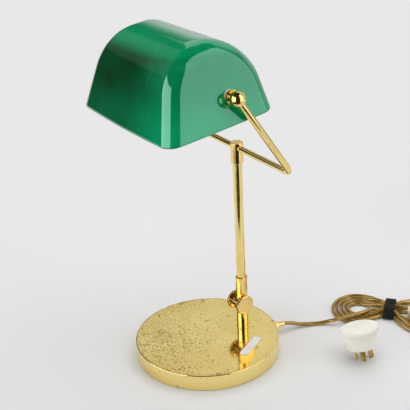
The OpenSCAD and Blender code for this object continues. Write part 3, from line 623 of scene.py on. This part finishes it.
def plain_plastic(name, pale, shadow, roughness=0.32):
    """Moulded plastic with a little dust and fine sink marks."""
    f = Finish(name, Coat_Weight=0.15, Coat_Roughness=0.2)
    cloud = f.ramp(f.noise(60, 4, 0.55), 0.35, 0.7)
    specks = f.ramp(f.noise(700, 2), 0.68, 0.73)
    colour = f.mix(cloud, pale, shadow)
    colour = f.mix(f.times(specks, 0.35), colour, rgb(120, 105, 80))
    rough = f.ramp(f.noise(120, 2), 0.3, 0.7, roughness - 0.05, roughness + 0.08)
    f.set(Base_Color=colour, Roughness=rough,
          Normal=f.relief(f.noise(900, 3, 0.6), 0.03, 0.0002, f.soft_edge(0.0005)))
    return f.material


def woven_strap():
    """Black loop tape: small fuzzy rows across the band."""
    f = Finish("woven_strap", Roughness=0.85, Sheen_Weight=0.12, Sheen_Roughness=0.4)
    here = f.coordinates(turn=(0, 0, -STRAP_TURN))
    rows = f.add("ShaderNodeTexWave", {"bands_direction": "X"}, Vector=here, Scale=900.0,
                 Distortion=3.0, Detail=2.0).outputs["Fac"]
    fuzz = f.noise(2600, 3, 0.6, at=here)
    colour = f.mix(f.ramp(fuzz, 0.4, 0.75), rgb(10, 10, 11), rgb(30, 30, 32))
    f.set(Base_Color=colour, Normal=f.relief(f.plus(rows, fuzz), 0.5, 0.0005))
    return f.material


def steel():
    f = Finish("plated_steel", Metallic=1.0)
    here = f.coordinates(scale=(1, 1, 4))
    wear = f.noise(240, 3, 0.55, at=here)
    f.set(Base_Color=f.mix(wear, rgb(150, 144, 130), rgb(196, 192, 180)),
          Roughness=f.ramp(wear, 0.3, 0.7, 0.22, 0.4),
          Normal=f.relief(wear, 0.1, 0.0002, f.soft_edge(0.0002)))
    return f.material


def cast_iron():
    f = Finish("cast_iron", Metallic=0.6, Roughness=0.65)
    grain = f.noise(500, 4, 0.6)
    f.set(Base_Color=f.mix(grain, rgb(48, 48, 50), rgb(84, 82, 80)), Normal=f.relief(grain, 0.5, 0.0006))
    return f.material


def felt():
    f = Finish("green_felt", Roughness=0.95, Sheen_Weight=0.5)
    fibres = f.noise(900, 4, 0.65, 1.0, f.coordinates(scale=(1, 1.6, 1), turn=(0, 0, 0.6)))
    f.set(Base_Color=f.mix(fibres, rgb(22, 52, 32), rgb(48, 86, 58)), Normal=f.relief(fibres, 0.6, 0.0006))
    return f.material


def paper():
    f = Finish("blank_paper", Roughness=0.7)
    fibres = f.noise(700, 4, 0.6)
    age = f.ramp(f.noise(90, 2), 0.45, 0.7)
    colour = f.mix(f.times(age, 0.4), rgb(236, 237, 236), rgb(216, 212, 200))
    f.set(Base_Color=colour, Normal=f.relief(fibres, 0.2, 0.0002))
    return f.material


def frosted_bulb():
    f = Finish("frosted_bulb", Roughness=0.4, Subsurface_Weight=0.3, Subsurface_Scale=0.004)
    cloud = f.noise(60, 2)
    f.set(Base_Color=f.mix(cloud, rgb(236, 234, 226), rgb(246, 245, 240)),
          Normal=f.relief(f.noise(1500, 2), 0.08, 0.0001))
    return f.material


finishes = {
    "brass_cover": spotted_brass(),
    "brass_tube": brass("tube_brass", worn=0.5, roughness=0.10),
    "brass_turned": brass("turned_brass", clean=rgb(255, 219, 140), worn=0.3, roughness=0.10),
    "glass_green": green_glass(),
    "opal": white_glass(),
    "cord_cover": gold_sheath(),
    "strap": woven_strap(),
    "plug_plastic": plain_plastic("cream_plug", rgb(252, 250, 239), rgb(243, 240, 226)),
    "switch": plain_plastic("cream_switch", rgb(228, 221, 184), rgb(214, 205, 162)),
    "rocker": plain_plastic("dark_rocker", rgb(30, 29, 28), rgb(44, 42, 40), 0.25),
    "holder": plain_plastic("dark_holder", rgb(28, 24, 22), rgb(42, 36, 32), 0.28),
    "fibre": plain_plastic("black_fibre", rgb(34, 33, 32), rgb(52, 50, 48), 0.6),
    "gasket": plain_plastic("pale_gasket", rgb(206, 200, 180), rgb(188, 180, 158), 0.6),
    "lead": plain_plastic("lead_skin", rgb(206, 200, 184), rgb(190, 182, 164), 0.45),
    "steel": steel(),
    "pin": brass("dull_pin_brass", clean=rgb(140, 106, 44), worn=0.7, roughness=0.28, edge=0.0002),
    "iron": cast_iron(),
    "felt": felt(),
    "paper": paper(),
    "bulb": frosted_bulb(),
}

CAD_FINISHES = {
    "iron": ["base_weight"], "felt": ["base_pad"],
    "steel": ["foot_nut", "foot_washer", "nipple_nut", "friction_screw", "pivot_studs", "switch_screws",
              "plug_screws", "bulb_cap"],
    "lead": ["base_lead", "stem_lead"],
    "brass_tube": ["post", "stem_tube", "yoke_tube", "base_cover"],
    "brass_turned": ["cord_nipple", "hinge_fork", "hinge_bolt", "near_knob", "stem_socket", "top_fitting",
               "ball_left", "ball_right", "stud_nuts", "pivot_collars"],
    "fibre": ["hinge_washers", "friction_pad"], "holder": ["lampholder", "holder_ring"],
    "bulb": ["bulb_glass"], "gasket": ["glass_gaskets"], "glass_green": ["shade_glass"],
    "cord_cover": ["cord_run", "cord_link", "cord_hank", "cord_tail"], "strap": ["cord_tie"],
    "switch": ["cord_switch_base", "cord_switch_lid"], "rocker": ["switch_rocker"],
    "plug_plastic": ["plug_base", "plug_cover"], "pin": ["plug_pins"], "paper": ["blank_tag"],
}
for finish_name, names in CAD_FINISHES.items():
    for node_name in names:
        slots = nodes[node_name].data.materials
        slots.clear()
        slots.append(finishes[finish_name])


# Cords


def strap_loop(grown, steps=10):
    """The strap's opening as (across, up) points, grown outwards, with the outward way at each point."""
    left, right, low, high = STRAP_OPENING
    loop = []
    for corner, (x, z) in enumerate(((right, high), (left, high), (left, low), (right, low))):
        inwards = STRAP_CORNER if corner > 1 else -STRAP_CORNER
        middle = Vector((x - math.copysign(STRAP_CORNER, x), z + inwards))
        for s in range(steps + 1):
            a = pi / 2 * (corner + s / steps)
            out = Vector((cos(a), sin(a)))
            loop.append((middle + (STRAP_CORNER + grown) * out, out))
    return loop


def make_strap():
    """The strap round the hank: a soft band with thick rounded edges, and its loose end on top."""
    edge = 0.55
    section = []
    for side in (1, -1):
        for s in range(7):
            a = pi / 2 - pi * s / 6
            section.append((side * (STRAP_HALF - edge + edge * cos(a)),
                            side * (STRAP_T / 2 - 0.05) * sin(a)))
    points, faces = [], []
    loop = strap_loop(STRAP_T / 2)
    for (across, up), out in loop:
        for along, thick in section:
            deep = thick + 0.12 * sin(along * 0.9)
            points.append(from_hank((along, across + out.x * deep, up + out.y * deep)))
    n = len(section)
    for i in range(len(loop)):
        k = (i + 1) % len(loop)
        faces += [(i * n + j, i * n + (j + 1) % n, k * n + (j + 1) % n, k * n + j) for j in range(n)]
    count = 24
    end = [(STRAP_OPENING[0] + STRAP_END_AT + STRAP_END_L * s / count, s / count)
           for s in range(count + 1)]
    first = len(points)
    high = STRAP_OPENING[3] + STRAP_T
    for across, part in end:
        lift = 0.75 + 1.3 * max(part - 0.8, 0) ** 1.2 * 5
        width = 0.93 - 0.10 * max(part - 0.88, 0) / 0.12
        for along, thick in section:
            sag = 0.2 * (along / STRAP_HALF) ** 2
            points.append(from_hank((along * width, across, high + lift + thick - sag)))
    for i in range(len(end) - 1):
        a, b = first + i * n, first + (i + 1) * n
        faces += [(a + (j + 1) % n, a + j, b + j, b + (j + 1) % n) for j in range(n)]
    last = first + (len(end) - 1) * n
    faces += [tuple(range(first, first + n)), tuple(range(last, last + n))[::-1]]
    strap = sharpen(new_piece("hook_and_loop_strap", points, faces), 60)
    return install(strap, "base", "strap", "cord_tie")


def make_plug_cover():
    """The round cover of the plug with its raised rim, hollow from the pin side."""
    body, rim = PLUG_BODY_R, PLUG_RIM_R
    under = PLUG_H - PLUG_RIM_H
    ceiling, bore, foot = PLUG_H - 4, body - 3.8, 4
    outside = [(body - 1.1, foot, 0.3), (body, under, 0.9), (rim - 0.4, under + 0.2, 0.8),
               (rim, under + 1.6, 0.8), (rim, PLUG_H - 1.6, 1.0), (rim - 1.6, PLUG_H, 1.0), (0, PLUG_H)]
    inside = [(0, ceiling), (bore, ceiling, 0.5), (bore, foot, 0.2)]
    upwards = PLUG_LEAN @ Vector((0, 0, 1))
    cover = lathe("round_plug_cover", inside + outside, PLUG_AT, upwards, sides=128)
    return install(cover, "base", "plug_plastic", "plug_cover")


def make_cords():
    strap = make_strap()
    cover = make_plug_cover()
    run = run_route()
    hank = hank_route()
    run_cord = install(tube("flex_to_switch", run, CORD_D / 2), "base", "cord_cover", "cord_run")
    hank_cord = install(tube("flex_in_hank", hank, CORD_D / 2), "base", "cord_cover",
                        "cord_link", "cord_hank", "cord_tail")


make_cords()


# Shade


SHADE_HALF_L = 105.0
ARCH_R = 61.0
SHADE_H = 88.6
FRONT_LEAN = radians(21.4)
BACK_LEAN = radians(5)
END_LEAN = radians(17.2)
CORNER_R = 18.0
HIP_R = 30.0
# How alike the two surfaces face where their corner starts to widen to the hip, and over what range
HIP_FROM, HIP_OVER = 0.1, 0.5
CROWN_R = 32.0
FRONT_BULGE = 3.0
END_BULGE = 0.5


def rim_half(lean):
    return ARCH_R / cos(lean) + (SHADE_H - ARCH_R) * math.tan(lean)


def round_max(a, b, alike):
    """The larger of two distances, the edge between them made round; alike is 1 where they face one way."""
    r = CORNER_R + (HIP_R - CORNER_R) * np.clip((alike - HIP_FROM) / HIP_OVER, 0, 1)
    past_a, past_b = a + r, b + r
    across = np.maximum(past_a ** 2 + past_b ** 2 - 2 * past_a * past_b * alike, 0)
    edge = np.sqrt(across / np.maximum(1 - alike ** 2, 1e-9)) - r
    return np.where((past_a > past_b * alike) & (past_b > past_a * alike), edge, np.maximum(a, b))


def shade_distance(p):
    """Distance from the outside of the glass: front and back wall with the arch over them, and the ends."""
    x, y, z = p
    pillow = np.clip(1 - z / SHADE_H, 0, 1)
    y = y + np.where(y < 0, FRONT_BULGE, 0) * pillow * (1 - (x / SHADE_HALF_L) ** 2)
    x = np.sign(x) * (np.abs(x) - END_BULGE * pillow * (1 - (y / ARCH_R) ** 2))
    above = z - (SHADE_H - ARCH_R)
    lean = np.where(y < 0, FRONT_LEAN, BACK_LEAN)
    wall = np.abs(y) * np.cos(lean) + above * np.sin(lean) - ARCH_R
    arched = np.arctan2(above, np.abs(y) + 1e-9) > lean
    section = np.where(arched, np.hypot(y, above) - ARCH_R, wall)
    section_up = np.where(arched, above / np.maximum(np.hypot(y, above), 1e-9), np.sin(lean))
    out = np.abs(x)
    crown_z = SHADE_H - CROWN_R
    crown_x = SHADE_HALF_L - crown_z * math.tan(END_LEAN) - CROWN_R / cos(END_LEAN)
    end = (out - SHADE_HALF_L) * cos(END_LEAN) + z * sin(END_LEAN)
    turn = np.arctan2(z - crown_z, out - crown_x)
    crown = np.where(out < crown_x, z - SHADE_H, np.hypot(out - crown_x, z - crown_z) - CROWN_R)
    at_end = (turn < END_LEAN) & (out > crown_x - CROWN_R)
    ends = np.where(at_end, end, crown)
    ends_up = np.where(at_end, sin(END_LEAN), np.where(out < crown_x, 1.0, np.sin(turn)))
    return round_max(section, ends, np.clip(section_up * ends_up, 0, 1 - 1e-6))


def shell_points(ways, start, inset, beyond=220.0, halvings=44):
    """Where rays from start leave the glass, inset from its outside."""
    low, high = np.zeros(len(ways)), np.full(len(ways), beyond)
    for _ in range(halvings):
        middle = (low + high) / 2
        inside = shade_distance((start + ways * middle[:, None]).T) + inset < 0
        low, high = np.where(inside, middle, low), np.where(inside, high, middle)
    return start + ways * low[:, None]


def make_shade():
    """The cased glass as one closed shell: green outside, a round rim, white inside."""
    nx, ny, nz = 84, 60, 34
    rim_r, top_row = 1.1, SHADE_H * 0.86
    front, back = -rim_half(FRONT_LEAN), rim_half(BACK_LEAN)
    index, ways = {}, []
    for i in range(nx + 1):
        for j in range(ny + 1):
            for k in range(nz + 1):
                if i in (0, nx) or j in (0, ny) or k == nz:
                    index[i, j, k] = len(ways)
                    ways.append((SHADE_HALF_L * (2 * i / nx - 1),
                                 back + (front - back) * (1 - j / ny), top_row * k / nz))
    ways = np.array(ways)
    ways /= np.linalg.norm(ways, axis=1)[:, None]
    start = np.array((0, 0, rim_r))
    outer = shell_points(ways, start, 0)
    inner = shell_points(ways, start, GLASS_T)
    count = len(ways)
    quads = []
    for i in range(nx):
        for k in range(nz):
            quads.append([(i, 0, k), (i + 1, 0, k), (i + 1, 0, k + 1), (i, 0, k + 1)])
            quads.append([(i + 1, ny, k), (i, ny, k), (i, ny, k + 1), (i + 1, ny, k + 1)])
    for j in range(ny):
        for k in range(nz):
            quads.append([(0, j + 1, k), (0, j, k), (0, j, k + 1), (0, j + 1, k + 1)])
            quads.append([(nx, j, k), (nx, j + 1, k), (nx, j + 1, k + 1), (nx, j, k + 1)])
    for i in range(nx):
        for j in range(ny):
            quads.append([(i, j, nz), (i + 1, j, nz), (i + 1, j + 1, nz), (i, j + 1, nz)])
    faces = [[index[c] for c in q] for q in quads]
    slots = [0] * len(faces)
    faces += [[index[c] + count for c in reversed(q)] for q in quads]
    slots += [1] * len(quads)
    loop = [(i, 0, 0) for i in range(nx)] + [(nx, j, 0) for j in range(ny)]
    loop += [(i, ny, 0) for i in range(nx, 0, -1)] + [(0, j, 0) for j in range(ny, 0, -1)]
    points = list(map(tuple, outer)) + list(map(tuple, inner))
    rings = [[index[c] for c in loop]]
    steps = 6
    for s in range(1, steps):
        ring = []
        for c in loop:
            a, b = outer[index[c]], inner[index[c]]
            p = a + (b - a) * (1 - cos(pi * s / steps)) / 2
            p[2] = rim_r * (1 - sin(pi * s / steps))
            ring.append(len(points))
            points.append(tuple(p))
        rings.append(ring)
    rings.append([index[c] + count for c in loop])
    for number, (high, low) in enumerate(zip(rings, rings[1:])):
        for m in range(len(loop)):
            n = (m + 1) % len(loop)
            faces.append([high[n], high[m], low[m], low[n]])
            slots.append(0 if number < 2 else 1)
    lean = Matrix.Rotation(SHADE_TIP, 3, "X")
    placed = [PIVOT + lean @ (Vector(p) - Vector((0, PIVOT_BACK, PIVOT_UP))) for p in points]
    piece = new_piece("cased_glass_shade", placed, faces)
    install(piece, "shade", "glass_green", "shade_glass")
    piece.data.materials.append(finishes["opal"])
    piece.data.polygons.foreach_set("material_index", slots)


make_shade()


# Base and stem


def make_base_shell():
    """The base's thin cover, open below, with a fine groove near the edge of its top."""
    r, h, wall, foot = BASE_R, BASE_H, 1.2, 0.6
    profile = [(r - wall, foot), (r, foot, 0.3), (r, h, 1.5), (r - 2.6, h, 0.1), (r - 2.7, h - 0.3, 0),
               (r - 3.0, h - 0.3, 0), (r - 3.1, h, 0.1), (0, h)]
    profile += [(0, h - wall), (r - wall, h - wall, 0.4), (r - wall, foot)]
    cover = lathe("spun_base_cover", profile, (0, 0, 0), sides=192)
    install(cover, "base", "brass_cover", "base_cover")


make_base_shell()


def make_yoke():
    """The yoke tube, swept along its bent line by a node tree."""
    path = bpy.data.curves.new("bent_yoke_tube", "CURVE")
    path.dimensions = "3D"
    line = path.splines.new("POLY")
    lean = Matrix.Rotation(pi / 2 - YOKE_ANGLE, 3, "X")
    reach = YOKE_REACH - YOKE_IN_BALL
    corners = [(-YOKE_HALF, 0, reach), (-YOKE_HALF, 0, 0), (YOKE_HALF, 0, 0), (YOKE_HALF, 0, reach)]
    line.points.add(len(corners) - 1)
    for point, corner in zip(line.points, corners):
        point.co = ((BAR + lean @ Vector(corner)) * MM).to_4d()
    source = add_object("bent_yoke_tube", path)
    g = Growth("sweep_yoke_tube", {"Bend radius": "Float", "Tube radius": "Float"})
    bent = g.add("GeometryNodeFilletCurve", {"mode": "POLY"}, Curve=g.given["Geometry"],
                 Radius=g.given["Bend radius"], Count=20)
    ring = g.add("GeometryNodeCurvePrimitiveCircle", Resolution=40, Radius=g.given["Tube radius"])
    sweep = g.add("GeometryNodeCurveToMesh", Curve=bent.outputs["Curve"],
                  Profile_Curve=ring.outputs["Curve"], Fill_Caps=True)
    g.end(sweep.outputs["Mesh"], "brass_tube")
    mesh = g.grow(source, {"Bend radius": YOKE_BEND * MM, "Tube radius": YOKE_R * MM})
    bpy.data.objects.remove(source)
    mesh.shade_smooth()
    piece = add_object("bent_yoke_tube", mesh)
    install(sharpen(piece, 50), "yoke", "brass_tube", "yoke_tube")


make_yoke()


def make_turned_pieces():
    """Plain turned pieces with softened edges: post, stem, fitting and the two balls."""
    post_foot, foot_t, post_top = POST_R + 0.5, 1.4, HINGE_H - HINGE_REACH
    post = [(0, 0), (post_foot, 0, 0.2), (post_foot, foot_t, 0.4), (POST_R, foot_t, 0.1),
            (POST_R, post_top, 0.25), (0, post_top)]
    stem_length = BAR.z - STEM_UNDER_BAR - (HINGE.z + HINGE_REACH)
    stem = [(0, 0), (STEM_R, 0, 0.2), (STEM_R, stem_length, 0.2), (0, stem_length)]
    fitting = [(STEM_R, 0), (FITTING_R - 0.4, 0, 0.3), (FITTING_R, 0.5, 0.3),
               (FITTING_R, FITTING_L - 0.8, 0.5), (FITTING_R - 0.7, FITTING_L, 0.5), (0, FITTING_L, 0)]
    for name, profile, z, body, finish, node in (
            ("turned_post", post, BASE_H + FACE_GAP, "post", "brass_tube", "post"),
            ("drawn_stem_tube", stem, HINGE.z + HINGE_REACH, "arm", "brass_tube", "stem_tube"),
            ("turned_top_fitting", fitting, BAR.z + FITTING_OVER_BAR - FITTING_L, "arm", "brass_turned",
             "top_fitting")):
        install(lathe(name, profile, (FOOT.x, FOOT.y, z)), body, finish, node)
    arcs = 40
    turns = [pi * i / arcs for i in range(arcs + 1)]
    ball = [(BALL_R * sin(a), -BALL_R * cos(a), 0) for a in turns]
    ball[0], ball[-1] = (0, -BALL_R), (0, BALL_R)
    axis = Vector((0, -cos(YOKE_ANGLE), sin(YOKE_ANGLE)))
    for side, node in ((-1, "ball_left"), (1, "ball_right")):
        middle = Vector((PIVOT.x + side * YOKE_HALF, PIVOT.y, PIVOT.z))
        install(lathe("turned_" + node, ball, middle, axis, sides=72), "yoke", "brass_turned", node)


make_turned_pieces()


TAG_AT = Vector((57, 30, BASE_H))
TAG_TURN = radians(118)


def make_tag():
    """The blank paper tag: rounded corners, and one end that has come up a little."""
    half_l, half_w, thick, corner = 22.5, 5.4, 0.3, 4.2
    steps, rows = 48, 8
    n = rows + 1
    turn = Matrix.Rotation(TAG_TURN, 3, "Z")
    tops, lows = [], []
    for i in range(steps + 1):
        x = -half_l * cos(pi * i / steps)
        past = max(abs(x) - (half_l - corner), 0)
        w = half_w - corner + sqrt(max(corner * corner - past * past, 0.0))
        curl = 0.9 * max(x / half_l - 0.55, 0) ** 2 / 0.2
        for j in range(rows + 1):
            y = w * (2 * j / rows - 1)
            wave = 0.06 * (1 + sin(0.5 * x + 0.4 * y))
            lows.append(TAG_AT + turn @ Vector((x, y, curl + wave * (abs(x) / half_l))))
            tops.append(lows[-1] + Vector((0, 0, thick)))
    points, count = tops + lows, len(tops)
    faces = []
    for i in range(steps):
        for j in range(rows):
            a, b = i * n + j, i * n + j + n
            faces.append((a, b, b + 1, a + 1))
            faces.append((count + a, count + a + 1, count + b + 1, count + b))
        for a, b in ((i * n, i * n + n), (i * n + n + rows, i * n + rows)):
            faces.append((b, a, count + a, count + b))
    for i, way in ((0, 1), (steps, -1)):
        for a in range(i * n, i * n + rows):
            faces.append((a, a + 1, count + a + 1, count + a)[::way])
    tag = sharpen(new_piece("blank_paper_tag", points, faces), 50)
    install(tag, "base", "paper", "blank_tag")


make_tag()


def knob_teeth():
    """A node tree that sets fine teeth round a knob whose axis lies along X."""
    g = Growth("knob_teeth", {"Teeth": "Int", "Rim radius": "Float", "Tooth size": "Float",
                              "Tooth length": "Float", "Middle": "Vector"})
    given = g.given
    ring = g.add("GeometryNodeMeshCircle", Vertices=given["Teeth"], Radius=given["Rim radius"])
    size = g.add("ShaderNodeCombineXYZ", X=given["Tooth size"], Y=given["Tooth size"],
                 Z=given["Tooth length"])
    tooth = g.add("GeometryNodeMeshCube", Size=size.outputs[0])
    turned = g.add("GeometryNodeTransform", Geometry=tooth.outputs["Mesh"], Rotation=(0, 0, radians(45)))
    outwards = g.add("FunctionNodeAlignRotationToVector", {"axis": "X", "pivot_axis": "Z"},
                     Vector=g.add("GeometryNodeInputPosition").outputs[0])
    spread = g.add("GeometryNodeInstanceOnPoints", Points=ring.outputs["Mesh"],
                   Instance=turned.outputs["Geometry"], Rotation=outwards.outputs["Rotation"])
    place = g.add("GeometryNodeTransform", Geometry=spread.outputs["Instances"],
                  Translation=given["Middle"], Rotation=(0, radians(90), 0))
    both = g.add("GeometryNodeJoinGeometry", Geometry=given["Geometry"])
    g.feed(both.inputs["Geometry"], place.outputs["Geometry"])
    g.end(both.outputs["Geometry"], "brass_turned")
    return g


def make_knobs():
    """The near knob, and the hinge bolt with the far knob as its head, both with a toothed edge."""
    teeth = knob_teeth()
    root, bore, half = KNOB_R - 0.45, BOLT_R + TURN_GAP, BARREL_L / 2
    disc = [(root - 0.7, 0, 0.3), (root, 0.6, 0.3), (root, KNOB_T - 0.6, 0.3), (root - 0.7, KNOB_T, 0.4),
            (0, KNOB_T)]
    near = [(0, KNOB_T - 0.95), (bore, KNOB_T - 0.95, 0), (bore, 0, 0)] + disc
    bolt = [(0, -half - KNOB_T + 1), (BOLT_R, -half - KNOB_T + 1, 0.3), (BOLT_R, half, 0)]
    bolt += [(p[0], p[1] + half) + tuple(p[2:]) for p in disc]
    for name, profile, way, middle, body, node in (
            ("toothed_near_knob", near, 1, half + FACE_GAP, "near_knob", "near_knob"),
            ("hinge_bolt_with_head", bolt, -1, 0, "post", "hinge_bolt")):
        piece = lathe(name, profile, HINGE + Vector((middle, 0, 0)), (way, 0, 0), sides=128)
        centre = HINGE + Vector((way * (half + KNOB_T / 2 + (FACE_GAP if way > 0 else 0)), 0, 0))
        piece.data = teeth.grow(piece, {
            "Teeth": KNOB_TEETH, "Rim radius": (root - 0.02) * MM, "Tooth size": TOOTH * MM,
            "Tooth length": (KNOB_T - 1.4) * MM, "Middle": tuple(centre * MM)})
        install(sharpen(piece), body, "brass_turned", node)


make_knobs()


# Floor, world and lamp


BACKGROUND = (0.80, 0.80, 0.80, 1)
# Between which distances from the lamp, in metres, the table top fades into the background
TABLE_FADE = (0.25, 1.3)
TABLE_TURN = radians(-45)
# Its corners from the lamp's foot, in metres: towards the camera, and across
TABLE_CORNERS = ((0.35, -1.6), (0.35, 1.6), (-6, 6), (-6, -6))


def make_floor():
    """A plain pale table top, whose near edge lies just outside the picture."""
    c, s = cos(TABLE_TURN), sin(TABLE_TURN)
    ahead, aside, foot = Vector((c, s, 0)), Vector((-s, c, 0)), FOOT * MM
    corners = [foot + ahead * out + aside * across for out, across in TABLE_CORNERS]
    mesh = bpy.data.meshes.new("table_top")
    mesh.from_pydata([tuple(p) for p in corners], [], [(0, 1, 2, 3)])
    f = Finish("table_top", Roughness=0.9, Specular_IOR_Level=0.1)
    cloud = f.noise(0.8, 1)
    away = f.add("ShaderNodeVectorMath", {"operation": "DISTANCE"})
    f.feed(away.inputs[0], f.coordinates())
    f.feed(away.inputs[1], foot)
    seen = f.add("ShaderNodeLightPath").outputs["Is Camera Ray"]
    far = f.times(f.ramp(away.outputs["Value"], *TABLE_FADE), seen)
    pale = f.mix(cloud, BACKGROUND, (0.82, 0.82, 0.82, 1))
    f.set(Base_Color=f.mix(far, pale, (0, 0, 0, 1)), Emission_Color=BACKGROUND, Emission_Strength=far)
    mesh.materials.append(f.material)
    floor = add_object("table_top", mesh)


# What the brass and the glass see round the lamp: direction and half width in degrees, lowest and
# highest elevation in degrees, brightness, softness of its edges in degrees
SURROUNDINGS = {
    "softbox right, its lower edge": (33, 31, -26, -8, 1.7, 2),
    "softbox right": (33, 30, -12, 64, 1.75, 2),
    "softbox front left": (-96, 33, -20, 36, 3.0, 2),
    "backdrop near the table": (145, 42, -40, 4, 0.75, 2),
    "backdrop": (112, 40, 0, 26, 1.0, 12),
    "upper backdrop": (122, 40, 28, 62, 0.95, 3),
    "wall left": (-162, 24, 18, 56, 0.16, 3),
    "wall behind right": (84, 26, -30, 60, 0.36, 2),
}
DARK_ROOM = 0.035
SPILL = 0.8


def make_world():
    """A studio in a dark room: two softboxes, a pale backdrop and dimmer walls."""
    world = bpy.data.worlds.new("studio_room")
    bpy.context.scene.world = world
    world.use_nodes = True
    world.node_tree.nodes.clear()
    w = Nodes(world.node_tree)
    x, y, z = w.split(w.add("ShaderNodeTexCoord").outputs["Generated"])
    level_part = w.math("SQRT", w.plus(w.times(x, x), w.times(y, y)))
    bright = DARK_ROOM
    for towards, half, low, high, level, blur in SURROUNDINGS.values():
        a = radians(towards)
        facing = w.plus(w.times(x, cos(a)), w.times(y, sin(a)))
        facing = w.math("DIVIDE", facing, level_part)
        within = w.ramp(facing, *(cos(radians(half + b)) for b in (blur, -blur)))
        over = w.ramp(z, *(sin(radians(low + b)) for b in (-blur, blur)))
        under = w.ramp(z, *(sin(radians(high + b)) for b in (blur, -blur)))
        box = w.times(w.times(over, under), within)
        bright = w.larger(w.times(box, level), bright)
    rays = w.add("ShaderNodeLightPath").outputs
    share = w.plus(w.times(rays["Is Glossy Ray"], 1 - SPILL), SPILL)
    room = w.add("ShaderNodeBackground", Strength=w.times(bright, share))
    pale = w.add("ShaderNodeBackground", Color=BACKGROUND)
    choose = w.add("ShaderNodeMixShader")
    for socket, item in zip(choose.inputs, (rays["Is Camera Ray"], room.outputs[0], pale.outputs[0])):
        w.feed(socket, item)
    w.add("ShaderNodeOutputWorld", Surface=choose.outputs[0])


LAMP_AT = (-0.45, 0.25, 3.0)
LAMP_SIZE = 4.4
LAMP_POWER = 92


def make_lamp():
    """A wide soft light straight above, which the brass and the glass don't mirror."""
    light = bpy.data.lights.new("ceiling_softbox", "AREA")
    light.shape = "RECTANGLE"
    light.size = light.size_y = LAMP_SIZE
    light.energy = LAMP_POWER
    lamp = add_object("ceiling_softbox", light)
    lamp.location = LAMP_AT
    lamp.visible_glossy = False


make_floor()
make_world()
make_lamp()
bpy.context.scene.view_settings.view_transform = "Standard"
